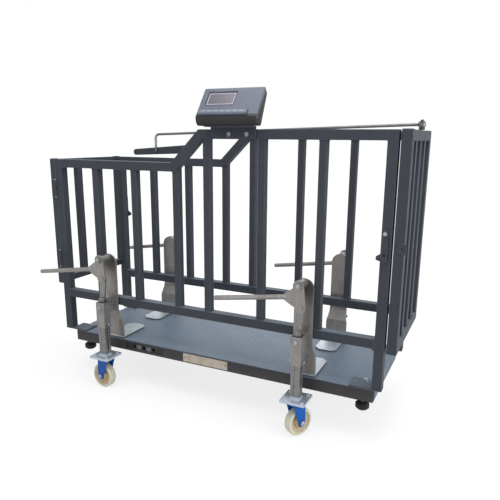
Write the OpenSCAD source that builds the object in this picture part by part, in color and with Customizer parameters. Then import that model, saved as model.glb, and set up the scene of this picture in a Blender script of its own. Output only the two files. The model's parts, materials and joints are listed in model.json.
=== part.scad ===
// Livestock weighing crate: a barred crate on a weighing deck, carried on lever jacks with casters.
// Origin: centre of the deck's top face. +X runs to the tall exit end, +Y to the back, +Z up.

/* [Deck] */
// Length of the weighing deck
deck_len = 1500; // [1400:10:1800]
// Width of the weighing deck, front to back
deck_wid = 476; // [450:2:600]
// Thickness of the tread plate
deck_plate_t = 4; // [3:0.5:6]
// Height of the folded channels under the plate
skirt_h = 50; // [45:1:70]
// Thickness of the channel steel
skirt_t = 3; // [2:0.5:5]
// Width of the channel flanges
skirt_flange = 20; // [12:1:22]
// Number of cross ribs under the plate
rib_count = 4; // [2:1:4]
// Spacing of the middle ribs
rib_pitch = 340; // [320:5:350]
// Distance of the end ribs from the deck's ends
rib_end_in = 240; // [220:5:260]
// Width of a cross rib
rib_w = 40; // [30:1:50]
// Height of a cross rib
rib_h = 30; // [20:1:36]
// Wall of a cross rib
rib_wall = 2.5; // [1.5:0.5:4]

/* [Feet and load cells] */
// Distance of a foot from the deck's end
foot_in_x = 48; // [44:1:60]
// Distance of a foot from the deck's side
foot_in_y = 38; // [36:1:50]
// Diameter of a rubber foot
foot_d = 56; // [40:1:70]
// Height of a rubber foot
foot_h = 30; // [20:1:40]
// Height of the foot's bottom under the deck's top
foot_drop = 105; // [100:1:115]
// Diameter of a foot's stud
stud_d = 14; // [10:1:20]
// Length of a load cell
cell_len = 130; // [110:1:170]
// Side of a load cell
cell_s = 28; // [24:1:32]

/* [Fence] */
// Side of the box section in the posts and rails
post_s = 38; // [32:1:46]
// Side of the box section in the upright bars
bar_s = 30; // [20:1:32]
// Wall of the fence tubes
tube_wall = 2; // [1.5:0.5:3]
// Width of the fence over its side panels
fence_wid = 484; // [478:2:620]
// How far the fence runs past the deck at the entry end
over_entry = 64; // [50:1:90]
// How far the fence runs past the deck at the exit end
over_exit = 30; // [12:1:60]
// Top of the low rail above the deck
low_top = 845; // [760:5:870]
// Top of the high rail above the deck
high_top = 982; // [950:2:1050]
// Top of the lower rail above the deck
lower_top = 209; // [195:1:230]
// Spacing of the bars in the low part
low_bay = 220; // [200:1:235]
// Spacing of the bars at the foot and the top of the slope
slope_bay = 152; // [140:1:170]
// Angle of the sloping rail
slope_angle = 45; // [40:1:52]
// How far the slope's upper corner stands before its bar
slope_setback = 19; // [10:1:25]
// Length of the plate that ties a post to the deck
post_foot_len = 90; // [85:1:130]
// Width of the plate that ties a post to the deck
post_foot_wid = 80; // [60:1:100]
// Thickness of the plate that ties a post to the deck
post_foot_t = 6; // [4:0.5:10]

/* [Entry gate] */
// Side of the box section in the entry gate
gate_s = 30; // [24:1:36]
// Gap between the entry gate and its posts
gate_gap = 1; // [0.6:0.2:4]
// Bottom of the entry gate above the deck
gate_bottom = 236; // [210:2:280]
// Number of upright bars between the gate's stiles
gate_bar_count = 2; // [1:1:3]

/* [Exit door] */
// Side of the box section in the exit door
door_s = 38; // [30:1:42]
// Gap between the exit door and its posts
door_gap = 8; // [4:0.5:10]
// Bottom of the exit door above the deck
door_bottom = 160; // [100:2:220]
// Number of upright bars between the door's stiles
door_bar_count = 3; // [1:1:4]

/* [Hinges] */
// Height of a hinge
hinge_h = 80; // [60:2:100]
// Thickness of a hinge leaf
leaf_t = 3; // [2:0.5:4]
// Radius of a hinge knuckle
knuckle_r = 6; // [5:0.5:8]
// Radius of a hinge pin
hinge_pin_r = 3; // [2:0.5:4]
// Length of a hinge leaf from the pin
leaf_len = 28; // [20:1:30]

/* [Drop latches] */
// Height of the latch pivot above the deck
latch_z = 617; // [560:1:660]
// Distance of the latch pivot from the post's inner side
latch_in = 15; // [12:1:24]
// Length of the latch arm from its pivot to its tip
latch_len = 108; // [80:1:130]
// Width of the latch arm
latch_w = 22; // [16:1:28]
// Thickness of the latch arm
latch_t = 4; // [3:0.5:6]
// Length of the thumb tab on the latch arm
latch_tab = 28; // [15:1:36]

/* [Door lever and rod] */
// Distance of the lever's pivot from the deck's entry end
lever_pivot_in = 368; // [340:1:400]
// Height of the lever's pivot above the low rail
lever_pivot_up = 45; // [40:1:60]
// Distance from the lever's pivot to the rod's pin
lever_crank = 169; // [140:1:180]
// Distance from the lever's pivot to the centre of its rounded grip end
lever_len = 306; // [260:1:330]
// Thickness of the lever
lever_t = 8; // [6:0.5:12]
// Diameter of the rod
rod_d = 12; // [8:0.5:14]
// Height of the rod's riser above its pin
rod_rise = 86; // [70:1:110]
// Height of the rod's far end above the high rail
rod_over = 24; // [20:1:40]
// Distance of the rod's far pin from the door's hinge axis
rod_pin_in = 160; // [120:1:200]

/* [Jacks] */
// Distance of the entry end jacks from the deck's entry end
jack_entry_in = 243; // [200:1:280]
// Distance of the exit end jacks from the deck's exit end
jack_exit_in = 290; // [240:1:330]
// Thickness of the bent jack bracket
bracket_t = 8; // [6:0.5:10]
// Width of the bracket's foot and riser
bracket_wid = 100; // [90:1:120]
// Width of the bracket's upper plate
bracket_top_wid = 80; // [70:1:90]
// Length of the bracket's foot on the deck
bracket_foot_len = 186; // [150:1:200]
// Distance of the leg's centre line from the fence's face
leg_out = 70; // [68:1:90]
// Side of the sliding leg's tube
leg_s = 38; // [36:1:40]
// Wall of the sliding leg's tube
leg_wall = 3; // [2:0.5:4]
// Wall of the guide sleeve
sleeve_wall = 3.2; // [2.5:0.1:5]
// Bottom of the guide sleeve above the deck
sleeve_bottom = 80; // [74:1:96]
// Length of the guide sleeve
sleeve_len = 120; // [110:1:124]
// Height of the lever's pivot above the deck
pivot_z = 402; // [396:1:410]
// Length of the jack lever's crank
crank = 86; // [84:1:88]
// Length of the link between the crank and the leg
link_len = 108; // [106:1:110]
// Angle of the crank past its lowest point
crank_lead = 6; // [3:0.5:9]
// Lift of the leg, which its guide slots allow
leg_travel = 127; // [120:1:130]
// Diameter of the jack's handle bar
handle_d = 20; // [16:1:24]
// Reach of the jack's handle from its pivot
handle_reach = 368; // [300:2:400]
// Droop of the jack's handle end under its pivot
handle_drop = 96; // [80:1:110]

/* [Casters] */
// Depth of the floor under the deck's top
floor_drop = 227; // [218:1:232]
// Diameter of a wheel
wheel_d = 118; // [100:1:118]
// Width of a wheel's tread
wheel_w = 36; // [30:1:38]
// Height of a caster under its leg's plate
caster_h = 160; // [152:1:166]
// Offset of the wheel's axle from the swivel axis
trail = 14; // [10:0.5:14]
// Side of the square caster plates
plate_s = 104; // [90:1:108]
// Thickness of a caster plate
plate_t = 5; // [4:0.5:6]
// Thickness of the yoke's steel
yoke_t = 4; // [3:0.5:5]
// Radius of an axle bolt
axle_r = 6; // [4:0.5:7]

/* [Indicator] */
// Width of the indicator
ind_w = 262; // [220:1:300]
// Depth of the indicator
ind_depth = 107; // [100:1:120]
// Height of the indicator
ind_h = 146; // [130:1:160]
// Distance of the indicator's middle from the bar at the slope's top
ind_x_in = 142; // [130:1:160]
// Wall of the indicator's case
case_t = 3; // [2:0.5:4]
// Width of the indicator's bracket
ind_plate_w = 200; // [160:1:230]
// Thickness of the indicator's bracket
ind_plate_t = 4; // [3:0.5:6]

/* [Hidden] */
$fn = 48;

// Overrun of every cut
over = 1;
// Running clearance of a pin in its hole, on the radius
pin_clear = 0.08;
// Clearance between flat faces that slide or swing past each other
face_clear = 0.4;
// How far a flat link's sides lie inside the rounds of its ends
side_in = 0.05;

// Colours
slate = [0.27, 0.30, 0.34];
deck_blue = [0.45, 0.52, 0.58];
steel = [0.62, 0.60, 0.57];
zinc = [0.74, 0.76, 0.78];
black = [0.08, 0.08, 0.09];
cream = [0.86, 0.84, 0.74];
blue = [0.12, 0.33, 0.65];
charcoal = [0.20, 0.21, 0.23];

// Places of the deck and the fence
deck_x0 = -deck_len / 2;
deck_x1 = deck_len / 2;
deck_y0 = -deck_wid / 2;
deck_under = -deck_plate_t;
skirt_under = deck_under - skirt_h;
fence_x0 = deck_x0 - over_entry;
fence_x1 = deck_x1 + over_exit;
fence_y0 = -fence_wid / 2;
low_bays = 3;
tall_bays = 3;
slope_foot_x = fence_x0 + low_bays * low_bay;
slope_head_x = slope_foot_x + slope_bay;
tall_bay = (fence_x1 - post_s - slope_head_x) / tall_bays;
low_bar_x = [for (i = [1:low_bays]) fence_x0 + i * low_bay];
tall_bar_x = [for (i = [0:tall_bays - 1]) slope_head_x + i * tall_bay];
bar_x = concat(low_bar_x, tall_bar_x);
slope_top_x = slope_head_x - slope_setback;
slope_low_x = slope_top_x - (high_top - low_top) / tan(slope_angle);
mitre = post_s * tan(slope_angle / 2);

// A box between two corners
module box(p, q) {
    translate(p) cube(q - p);
}

// A box section tube between two corners, hollow along one axis (0, 1 or 2)
module tube_box(p, q, wall, axis) {
    low = [for (i = [0:2]) i == axis ? p[i] - over : p[i] + wall];
    high = [for (i = [0:2]) i == axis ? q[i] + over : q[i] - wall];
    difference() {
        box(p, q);
        box(low, high);
    }
}

// A round bar between two points
module bar_between(p, q, d) {
    v = q - p;
    translate(p)
        rotate([0, acos(v[2] / norm(v)), atan2(v[1], v[0])])
            cylinder(d = d, h = norm(v));
}

// The same with both ends chamfered
module chamfered_bar(p, q, d) {
    v = q - p;
    c = d / 4;
    translate(p)
        rotate([0, acos(v[2] / norm(v)), atan2(v[1], v[0])])
            rotate_extrude()
                polygon([[0, 0], [d / 2 - c, 0], [d / 2, c], [d / 2, norm(v) - c], [d / 2 - c, norm(v)],
                         [0, norm(v)]]);
}

// Draws its children at the front, and mirrored at the back
module both_sides() {
    children();
    mirror([0, 1, 0]) children();
}

// Stands a flat shape drawn in X and Z up, with its front face at y and its thickness to the back
module upright(y, t) {
    translate([0, y + t, 0]) rotate([90, 0, 0]) linear_extrude(t) children();
}

// A flat link with round ends of two radii, in the plane; its sides start just inside the rounds
module strap(p, rp, q, rq) {
    v = q - p;
    a = atan2(v[1], v[0]);
    g = acos((rp - rq) / norm(v));
    up = [cos(a + g), sin(a + g)];
    down = [cos(a - g), sin(a - g)];
    translate(p) circle(rp);
    translate(q) circle(rq);
    polygon([p + (rp - side_in) * up, p + (rp - side_in) * down,
             q + (rq - side_in) * down, q + (rq - side_in) * up]);
}

// Deck and platform

// Places of the cross ribs: one near each end, the others about the middle
rib_inner = rib_count - 2;
rib_x = concat([deck_x0 + rib_end_in],
               [for (i = [1:1:rib_inner]) (i - (rib_inner + 1) / 2) * rib_pitch],
               [deck_x1 - rib_end_in]);
jbox_gap = 41;
jbox_x = rib_x[0] + rib_w / 2 + jbox_gap;
jbox_len = rib_x[1] - rib_w / 2 - jbox_gap - jbox_x;
jbox_h = 30;
jbox_depth = 60;
jbox_wall = 2;
name_in = 632;
plate_x = deck_x0 + name_in;
name_len = 228;
name_h = 40;
name_t = 1.2;
name_z = deck_under - skirt_h / 2;
rivet_r = 3;
rivet_head = 1.6;
rivet_in = 9;

module deck_plate() {
    color(deck_blue)
        box([deck_x0, deck_y0, deck_under], [deck_x1, -deck_y0, 0]);
}

// A channel's section in the plane: web on the left, flanges to the right, top at zero
module channel_section() {
    difference() {
        translate([0, -skirt_h]) square([skirt_flange, skirt_h]);
        translate([skirt_t, skirt_t - skirt_h])
            square([skirt_flange, skirt_h - 2 * skirt_t]);
    }
}

module side_channel() {
    translate([deck_x0, deck_y0, deck_under])
        rotate([90, 0, 90]) linear_extrude(deck_len) channel_section();
}

module end_channel() {
    translate([deck_x0, -deck_y0 - skirt_flange, deck_under])
        rotate([90, 0, 0]) linear_extrude(deck_wid - 2 * skirt_flange) channel_section();
}

module platform_channels() {
    color(charcoal) {
        difference() {
            side_channel();
            box([jbox_x, deck_y0 - over, name_z - jbox_h / 2],
                [jbox_x + jbox_len, deck_y0 + skirt_t + over, name_z + jbox_h / 2]);
        }
        mirror([0, 1, 0]) side_channel();
        end_channel();
        mirror([1, 0, 0]) end_channel();
    }
}

module platform_ribs() {
    color(charcoal)
        for (x = rib_x)
            tube_box([x - rib_w / 2, deck_y0 + skirt_t, deck_under - skirt_t - rib_h],
                     [x + rib_w / 2, -deck_y0 - skirt_t, deck_under - skirt_t], rib_wall, 1);
}

// Places something at each foot, turned so that +X points along the deck to its middle
module at_feet() {
    both_sides()
        for (side = [0, 1])
            mirror([side, 0, 0])
                translate([deck_x0 + foot_in_x, deck_y0 + foot_in_y, 0]) children();
}

cell_pad_h = 14;
cell_top = deck_under - cell_pad_h;
cell_under = cell_top - cell_s;
cell_pad = 40;

module load_cells() {
    color(zinc) at_feet() {
        difference() {
            box([-cell_s / 2, -cell_s / 2, cell_under], [cell_len - cell_s / 2, cell_s / 2, cell_top]);
            translate([0, 0, cell_under - over]) cylinder(d = stud_d, h = cell_s + 2 * over);
        }
        box([cell_len - cell_s / 2 - cell_pad, -cell_s / 2, cell_top],
            [cell_len - cell_s / 2, cell_s / 2, deck_under]);
    }
}

module rubber_feet() {
    lip = foot_h / 4;
    color(black) at_feet()
        translate([0, 0, -foot_drop]) rotate_extrude()
            polygon([[0, 0], [foot_d / 2 - lip, 0], [foot_d / 2, lip], [foot_d / 2, foot_h - lip],
                     [foot_d / 2 - lip, foot_h], [0, foot_h]]);
}

module foot_studs() {
    nut_h = stud_d / 2;
    color(zinc) at_feet() {
        translate([0, 0, foot_h - foot_drop])
            cylinder(d = stud_d, h = cell_top + foot_drop - foot_h);
        difference() {
            translate([0, 0, cell_under - nut_h]) cylinder(d = 2 * stud_d, h = nut_h, $fn = 6);
            translate([0, 0, cell_under - nut_h - over]) cylinder(d = stud_d, h = nut_h + 2 * over);
        }
    }
}

module junction_box() {
    socket_w = jbox_h / 2;
    color(black) difference() {
        box([jbox_x, deck_y0 + skirt_t, name_z - jbox_h / 2],
            [jbox_x + jbox_len, deck_y0 + skirt_t + jbox_depth, name_z + jbox_h / 2]);
        box([jbox_x + jbox_wall, deck_y0 + skirt_t + socket_w, name_z - jbox_h / 2 + jbox_wall],
            [jbox_x + jbox_len - jbox_wall, deck_y0 + skirt_t + jbox_depth - jbox_wall,
             name_z + jbox_h / 2 - jbox_wall]);
        for (i = [1:3])
            translate([jbox_x + i * jbox_len / 4, deck_y0 + skirt_t - over, name_z]) rotate([-90, 0, 0])
                cylinder(d = socket_w, h = socket_w - jbox_wall + over);
    }
}

module name_plate() {
    color([0.72, 0.69, 0.62]) difference() {
        box([plate_x, deck_y0 - name_t, name_z - name_h / 2],
            [plate_x + name_len, deck_y0, name_z + name_h / 2]);
        for (x = [plate_x + rivet_in, plate_x + name_len - rivet_in])
            translate([x, deck_y0 - name_t - over, name_z]) rotate([-90, 0, 0])
                cylinder(r = rivet_r, h = name_t + 2 * over);
    }
}

module plate_rivets() {
    color(zinc)
        for (x = [plate_x + rivet_in, plate_x + name_len - rivet_in])
            translate([x, deck_y0, name_z]) rotate([90, 0, 0])
                cylinder(r = rivet_r, h = name_t + rivet_head);
}

// Fence

module corner_posts() {
    color(slate) both_sides() {
        tube_post(fence_x0, low_top);
        tube_post(fence_x1 - post_s, high_top);
    }
}

// A corner post with a closed top, from the deck's level up
module tube_post(x, top) {
    difference() {
        box([x, fence_y0, 0], [x + post_s, fence_y0 + post_s, top]);
        box([x + tube_wall, fence_y0 + tube_wall, -over],
            [x + post_s - tube_wall, fence_y0 + post_s - tube_wall, top - tube_wall]);
    }
}

// The bent top rail seen from the front, slimmed all round by an inset and run past its ends
module top_rail_face(inset, run) {
    shift = inset * tan(slope_angle / 2);
    polygon([[fence_x0 + post_s - run, low_top - inset],
             [slope_low_x + shift, low_top - inset],
             [slope_top_x + shift, high_top - inset],
             [fence_x1 - post_s + run, high_top - inset],
             [fence_x1 - post_s + run, high_top - post_s + inset],
             [slope_top_x + mitre - shift, high_top - post_s + inset],
             [slope_low_x + mitre - shift, low_top - post_s + inset],
             [fence_x0 + post_s - run, low_top - post_s + inset]]);
}

module panel_rails() {
    color(slate) both_sides() {
        difference() {
            upright(fence_y0, post_s) top_rail_face(0, 0);
            upright(fence_y0 + tube_wall, post_s - 2 * tube_wall) top_rail_face(tube_wall, over);
        }
        tube_box([fence_x0 + post_s, fence_y0, lower_top - post_s],
                 [fence_x1 - post_s, fence_y0 + post_s, lower_top], tube_wall, 0);
    }
}

// Everything under the top rails, seen from the front
module under_rails_face() {
    polygon([[fence_x0, lower_top], [fence_x0, low_top - post_s],
             [slope_low_x + mitre, low_top - post_s],
             [slope_top_x + mitre, high_top - post_s],
             [fence_x1, high_top - post_s], [fence_x1, lower_top]]);
}

module panel_bars() {
    bar_in = (post_s - bar_s) / 2;
    color(slate) both_sides()
        for (x = bar_x)
            intersection() {
                tube_box([x, fence_y0 + bar_in, lower_top],
                         [x + bar_s, fence_y0 + bar_in + bar_s, high_top], tube_wall, 2);
                upright(fence_y0, post_s) under_rails_face();
            }
}

bolt_r = 6;
bolt_head_r = 10;
bolt_head_h = 7;
washer_r = 12;
washer_t = 2;
foot_bolt_out = 37;
foot_bolt_back = 61;

// Places something at each end of each side: first the entry end, then the exit end
module at_post_bolts() {
    both_sides()
        for (x = [fence_x0 + post_s + foot_bolt_out + over_entry - over_exit,
                  fence_x1 - post_s - foot_bolt_out])
            translate([x, fence_y0 + foot_bolt_back, 0]) children();
}

module post_feet() {
    color(slate) difference() {
        both_sides() {
            box([fence_x0 + post_s, fence_y0, 0],
                [fence_x0 + post_s + post_foot_len, fence_y0 + post_foot_wid, post_foot_t]);
            box([fence_x1 - post_s - post_foot_len, fence_y0, 0],
                [fence_x1 - post_s, fence_y0 + post_foot_wid, post_foot_t]);
        }
        at_post_bolts() translate([0, 0, -over])
            cylinder(r = bolt_r + pin_clear, h = post_foot_t + 2 * over);
    }
}

// Bolts on the post plates, and flush screws in the jack brackets' feet
module deck_bolts() {
    color(zinc) {
        at_post_bolts() {
            cylinder(r = bolt_r, h = post_foot_t + washer_t);
            translate([0, 0, post_foot_t]) difference() {
                cylinder(r = washer_r, h = washer_t);
                translate([0, 0, -over]) cylinder(r = bolt_r, h = washer_t + 2 * over);
            }
            translate([0, 0, post_foot_t + washer_t]) cylinder(r = bolt_head_r, h = bolt_head_h, $fn = 6);
        }
        at_jacks() translate([0, bracket_foot_y - bracket_hole_in, 0])
            cylinder(r = bolt_r, h = bracket_t);
    }
}

// Hinges: leaves lie on the outer faces of a post and a stile, with the knuckles at their gap
leaf_share = 1 / 3;
entry_hinge_x = fence_x0 - gate_gap / 2;
exit_hinge_x = fence_x1 + door_gap / 2;
entry_hinge_y = fence_y0 - knuckle_r;
gate_hinge_shares = [0.775, 0.212];
door_hinge_shares = [0.852, 0.487, 0.128];
gate_hinge_z = [for (s = gate_hinge_shares) gate_bottom + s * (low_top - gate_bottom)];
door_hinge_z = [for (s = door_hinge_shares) door_bottom + s * (high_top - door_bottom)];

// Knuckle spans along a hinge: the leaf has both ends, the strap has the middle
function span_low(part) = part == "leaf" ? [0, 2 * leaf_share * hinge_h] : [leaf_share * hinge_h];
span_h = leaf_share * hinge_h;

// One half of a hinge about its pin, with its plate to +X and its back on the faces at +Y
module hinge_half(part) {
    other = part == "leaf" ? "strap" : "leaf";
    difference() {
        union() {
            box([0, knuckle_r - leaf_t, 0], [leaf_len, knuckle_r, hinge_h]);
            for (z = span_low(part)) translate([0, 0, z]) cylinder(r = knuckle_r, h = span_h);
        }
        for (z = span_low(other))
            translate([0, 0, z - face_clear])
                cylinder(r = knuckle_r + face_clear, h = span_h + 2 * face_clear);
        translate([0, 0, -over]) cylinder(r = hinge_pin_r + pin_clear, h = hinge_h + 2 * over);
    }
}

// Places something at each gate hinge, and at each door hinge turned half round
module at_gate_hinges() {
    for (z = gate_hinge_z)
        translate([entry_hinge_x, entry_hinge_y, z - hinge_h / 2]) children();
}

module at_door_hinges() {
    for (z = door_hinge_z)
        translate([exit_hinge_x, -entry_hinge_y, z - hinge_h / 2]) rotate([0, 0, 180]) children();
}

module hinge_leaves() {
    color(slate) {
        at_gate_hinges() hinge_half("leaf");
        at_door_hinges() hinge_half("leaf");
    }
}

module gate_straps() {
    color(slate) at_gate_hinges() mirror([1, 0, 0]) hinge_half("strap");
}

module door_straps() {
    color(slate) at_door_hinges() mirror([1, 0, 0]) hinge_half("strap");
}

module hinge_pins() {
    color(zinc) {
        at_gate_hinges() hinge_pin();
        at_door_hinges() hinge_pin();
    }
}

module hinge_pin() {
    head_h = hinge_pin_r;
    cylinder(r = hinge_pin_r, h = hinge_h);
    translate([0, 0, hinge_h]) cylinder(r = knuckle_r, h = head_h);
    translate([0, 0, -head_h]) cylinder(r = knuckle_r, h = head_h);
}

// Gate and door: a frame of two stiles and two rails, with upright bars between

module swing_frame(x, s, low, high) {
    tube_box([x, fence_y0, low], [x + s, fence_y0 + s, high], tube_wall, 2);
    tube_box([x, -fence_y0 - s, low], [x + s, -fence_y0, high], tube_wall, 2);
    tube_box([x, fence_y0 + s, low], [x + s, -fence_y0 - s, low + s], tube_wall, 1);
    tube_box([x, fence_y0 + s, high - s], [x + s, -fence_y0 - s, high], tube_wall, 1);
}

module swing_bars(x, s, low, high, count) {
    inner = fence_wid - 2 * s;
    bar = min(s, bar_s);
    pitch = (inner - count * bar) / (count + 1) + bar;
    for (i = [1:count])
        let (y = fence_y0 + s + i * pitch - bar)
            tube_box([x + (s - bar) / 2, y, low + s], [x + (s + bar) / 2, y + bar, high - s], tube_wall, 2);
}

gate_x = fence_x0 - gate_gap - gate_s;
door_x = fence_x1 + door_gap;

module gate_frame() {
    color(slate) swing_frame(gate_x, gate_s, gate_bottom, low_top);
}

module gate_bars() {
    color(slate) swing_bars(gate_x, gate_s, gate_bottom, low_top, gate_bar_count);
}

module door_frame() {
    color(slate) swing_frame(door_x, door_s, door_bottom, high_top);
}

module door_bars() {
    color(slate) swing_bars(door_x, door_s, door_bottom, high_top, door_bar_count);
}

// Drop latches: an arm that hangs from a bolt on a post, and a keeper on the gate or door
latch_bolt_r = 4;
latch_spacer = leaf_t + face_clear;
keeper_w = 30;
keeper_h = 38;
keeper_eye_r = 6;
latch_eye = 80;
tab_h = 12;

// Places something at the exit post's latch, and turned half round at the entry post's latch
module at_exit_latch() {
    translate([fence_x1 - post_s + latch_in, fence_y0, latch_z]) children();
}

module at_entry_latch() {
    translate([fence_x0 + post_s - latch_in, -fence_y0, latch_z]) rotate([0, 0, 180]) children();
}

module latch_arm() {
    r = latch_w / 2;
    difference() {
        upright(-latch_spacer - face_clear - latch_t, latch_t) {
            strap([0, 0], r, [0, r - latch_len], r);
            translate([-latch_tab, r - latch_len]) square([latch_tab, tab_h]);
        }
        translate([0, over, 0]) rotate([90, 0, 0])
            cylinder(r = latch_bolt_r + pin_clear, h = latch_spacer + 2 * latch_t + 2 * over);
        translate([0, over, -latch_eye]) rotate([90, 0, 0])
            cylinder(r = keeper_eye_r, h = latch_spacer + 2 * latch_t + 2 * over);
    }
}

module latch_bolt() {
    rotate([90, 0, 0]) {
        cylinder(r = latch_w / 2, h = latch_spacer);
        translate([0, 0, latch_spacer]) cylinder(r = latch_bolt_r, h = latch_t + 2 * face_clear);
        translate([0, 0, latch_spacer + latch_t + 2 * face_clear])
            cylinder(r = 2 * latch_bolt_r, h = latch_bolt_r, $fn = 6);
    }
}

// A keeper plate on a stile's outer face, with an eye that the arm's eye swings over
module keeper(x) {
    drop = sqrt(latch_eye * latch_eye - x * x);
    translate([x, 0, -drop]) difference() {
        box([-keeper_w / 2, -leaf_t, -keeper_h / 2], [keeper_w / 2, 0, keeper_h / 2]);
        translate([0, over, 0]) rotate([90, 0, 0]) cylinder(r = keeper_eye_r, h = leaf_t + 2 * over);
    }
}

module door_latch_arm() {
    color(zinc) at_exit_latch() latch_arm();
}

module gate_latch_arm() {
    color(zinc) at_entry_latch() latch_arm();
}

module latch_bolts() {
    color(zinc) {
        at_exit_latch() latch_bolt();
        at_entry_latch() latch_bolt();
    }
}

module door_keeper() {
    color(slate) at_exit_latch() keeper(post_s - latch_in + door_gap + keeper_w);
}

module gate_keeper() {
    color(slate) at_entry_latch() keeper(post_s - latch_in + gate_gap + keeper_w);
}

// Door lever on the back low rail, and the rod that joins it to the door
lever_x = deck_x0 + lever_pivot_in;
lever_y = -fence_y0 - post_s / 2;
lever_z = low_top + lever_pivot_up;
lever_hub_r = 21;
lever_end_r = 16;
lever_end_drop = 18;
lever_bolt_r = 5;
ear_t = 6;
ear_w = 36;
rod_hole_clear = 0.9;
rod_gap = 1.6;
rod_collar_r = 10;
rod_collar_t = 5;
rod_pin_drop = 11;
rod_pin = [lever_x - lever_crank, lever_y, lever_z - rod_pin_drop];
rod_bend_r = 20;
rod_side = lever_t / 2 + rod_gap + rod_d / 2;
door_pin = [door_x + door_s / 2, -entry_hinge_y - rod_pin_in, high_top + rod_over];
rod_eye_r = 15;
rod_eye_h = 14;
rod_bolt_r = 6;
rod_foot_gap = 3;

module lever_bracket() {
    color(slate) difference() {
        for (side = [-1, 1])
            translate([lever_x, lever_y + side * (lever_t / 2 + face_clear + ear_t / 2), 0])
                upright(-ear_t / 2, ear_t) {
                    translate([-ear_w / 2, low_top]) square([ear_w, lever_pivot_up]);
                    translate([0, lever_z]) circle(ear_w / 2);
                }
        translate([lever_x, lever_y + lever_hub_r, lever_z]) rotate([90, 0, 0])
            cylinder(r = lever_bolt_r + pin_clear, h = 2 * lever_hub_r);
    }
}

module lever_bolt() {
    half = lever_t / 2 + face_clear + ear_t;
    color(zinc) translate([lever_x, lever_y, lever_z]) rotate([90, 0, 0]) {
        translate([0, 0, -half]) cylinder(r = lever_bolt_r, h = 2 * half);
        translate([0, 0, half]) cylinder(r = 2 * lever_bolt_r, h = lever_bolt_r, $fn = 6);
        translate([0, 0, -half - lever_bolt_r]) cylinder(r = 2 * lever_bolt_r, h = lever_bolt_r, $fn = 6);
    }
}

module door_lever() {
    color(charcoal) difference() {
        translate([0, lever_y, 0]) upright(-lever_t / 2, lever_t)
            strap([lever_x, lever_z], lever_hub_r,
                  [lever_x - lever_len, lever_z - lever_end_drop], lever_end_r);
        translate([lever_x, lever_y + lever_t, lever_z]) rotate([90, 0, 0])
            cylinder(r = lever_bolt_r + pin_clear, h = 2 * lever_t);
        translate(rod_pin + [0, lever_t, 0]) rotate([90, 0, 0])
            cylinder(r = rod_d / 2 + rod_hole_clear, h = 2 * lever_t);
    }
}

// The rod: a stub through the lever, a riser, a round bend and a long run to the door
module door_rod() {
    foot = rod_pin - [0, rod_side, 0];
    stub = rod_pin + [0, lever_t / 2 + rod_gap + rod_collar_t, 0];
    top = foot + [0, 0, rod_rise - rod_bend_r];
    bend = top + [rod_bend_r, 0, rod_bend_r];
    end = door_pin - [rod_eye_r, 0, 0];
    color(steel) {
        difference() {
            union() {
                bar_between(foot, stub, rod_d);
                translate(stub) rotate([90, 0, 0]) cylinder(r = rod_collar_r, h = rod_collar_t);
                translate(foot) sphere(d = rod_d);
                bar_between(foot, top, rod_d);
                translate(top + [rod_bend_r, 0, 0]) rotate([90, 0, 0]) rotate([0, 0, 90])
                    rotate_extrude(angle = 90) translate([rod_bend_r, 0]) circle(d = rod_d);
                translate(bend) sphere(d = rod_d);
                bar_between(bend, end, rod_d);
                translate(door_pin - [0, 0, rod_eye_h / 2]) cylinder(r = rod_eye_r, h = rod_eye_h);
            }
            translate(door_pin - [0, 0, rod_eye_h])
                cylinder(r = rod_bolt_r + pin_clear, h = 2 * rod_eye_h);
        }
    }
}

module rod_end_bolt() {
    low = high_top + rod_foot_gap;
    top = door_pin[2] + rod_eye_h / 2;
    color(zinc) translate([door_pin[0], door_pin[1], 0]) {
        translate([0, 0, low]) cylinder(r = rod_bolt_r, h = top - low + 2 * rod_bolt_r);
        difference() {
            translate([0, 0, low])
                cylinder(r = 2 * rod_bolt_r, h = door_pin[2] - rod_eye_h / 2 - low, $fn = 6);
            translate([0, 0, low - over]) cylinder(r = rod_bolt_r, h = 3 * rod_bolt_r);
        }
        difference() {
            translate([0, 0, top]) cylinder(r = 2 * rod_bolt_r, h = rod_bolt_r, $fn = 6);
            translate([0, 0, top - over]) cylinder(r = rod_bolt_r, h = 2 * rod_bolt_r);
        }
    }
}

// Indicator on its bracket, over the front high rail
ind_x = slope_head_x + ind_x_in;
ind_plate_h = 34;
ind_lift = 12;
ind_front_in = 74;
ind_z = high_top + ind_lift;
ind_y = fence_y0 - ind_front_in;
screen_w = 122;
screen_h = 56;
screen_t = 2;
screen_in = 28;
screen_up_share = 0.68;
keys_w = 200;
keys_h = 34;
keys_in = 16;
keys_up_share = 0.19;
cover_t = 12;

// The case seen from its right side, as shares of its depth and height, from the bottom front on
case_shares = [[0.15, 0], [0.04, 0.08], [0, 0.23], [0.075, 0.30],
               [0.75, 0.973], [0.84, 1], [1, 0.824], [0.48, 0]];
face_low = 3;
face_high = 4;
case_points = [for (s = case_shares) [s[0] * ind_depth, s[1] * ind_h]];

module ind_body(wall) {
    translate([ind_x - ind_w / 2 + wall, ind_y, ind_z]) rotate([90, 0, 90])
        linear_extrude(ind_w - 2 * wall) offset(delta = -wall) polygon(case_points);
}

face_span = case_points[face_high] - case_points[face_low];
face_tilt = atan2(face_span[1], face_span[0]);
face_len = norm(face_span);

// Places something on the sloping face: +X to the right, +Y up the slope, +Z out of it
module on_face() {
    translate([ind_x, ind_y + case_points[face_low][0], ind_z + case_points[face_low][1]])
        rotate([face_tilt, 0, 0]) children();
}

// Everything in front of the case's parting plane, which lies behind the sloping face
module ind_front() {
    on_face() translate([-ind_w, -face_len, -cover_t]) cube([2 * ind_w, 3 * face_len, 2 * ind_depth]);
}

module indicator_base() {
    color(charcoal) difference() {
        ind_body(0);
        ind_body(case_t);
        ind_front();
    }
}

screen_x = -ind_w / 2 + screen_in;
keys_x = -ind_w / 2 + keys_in;

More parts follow.
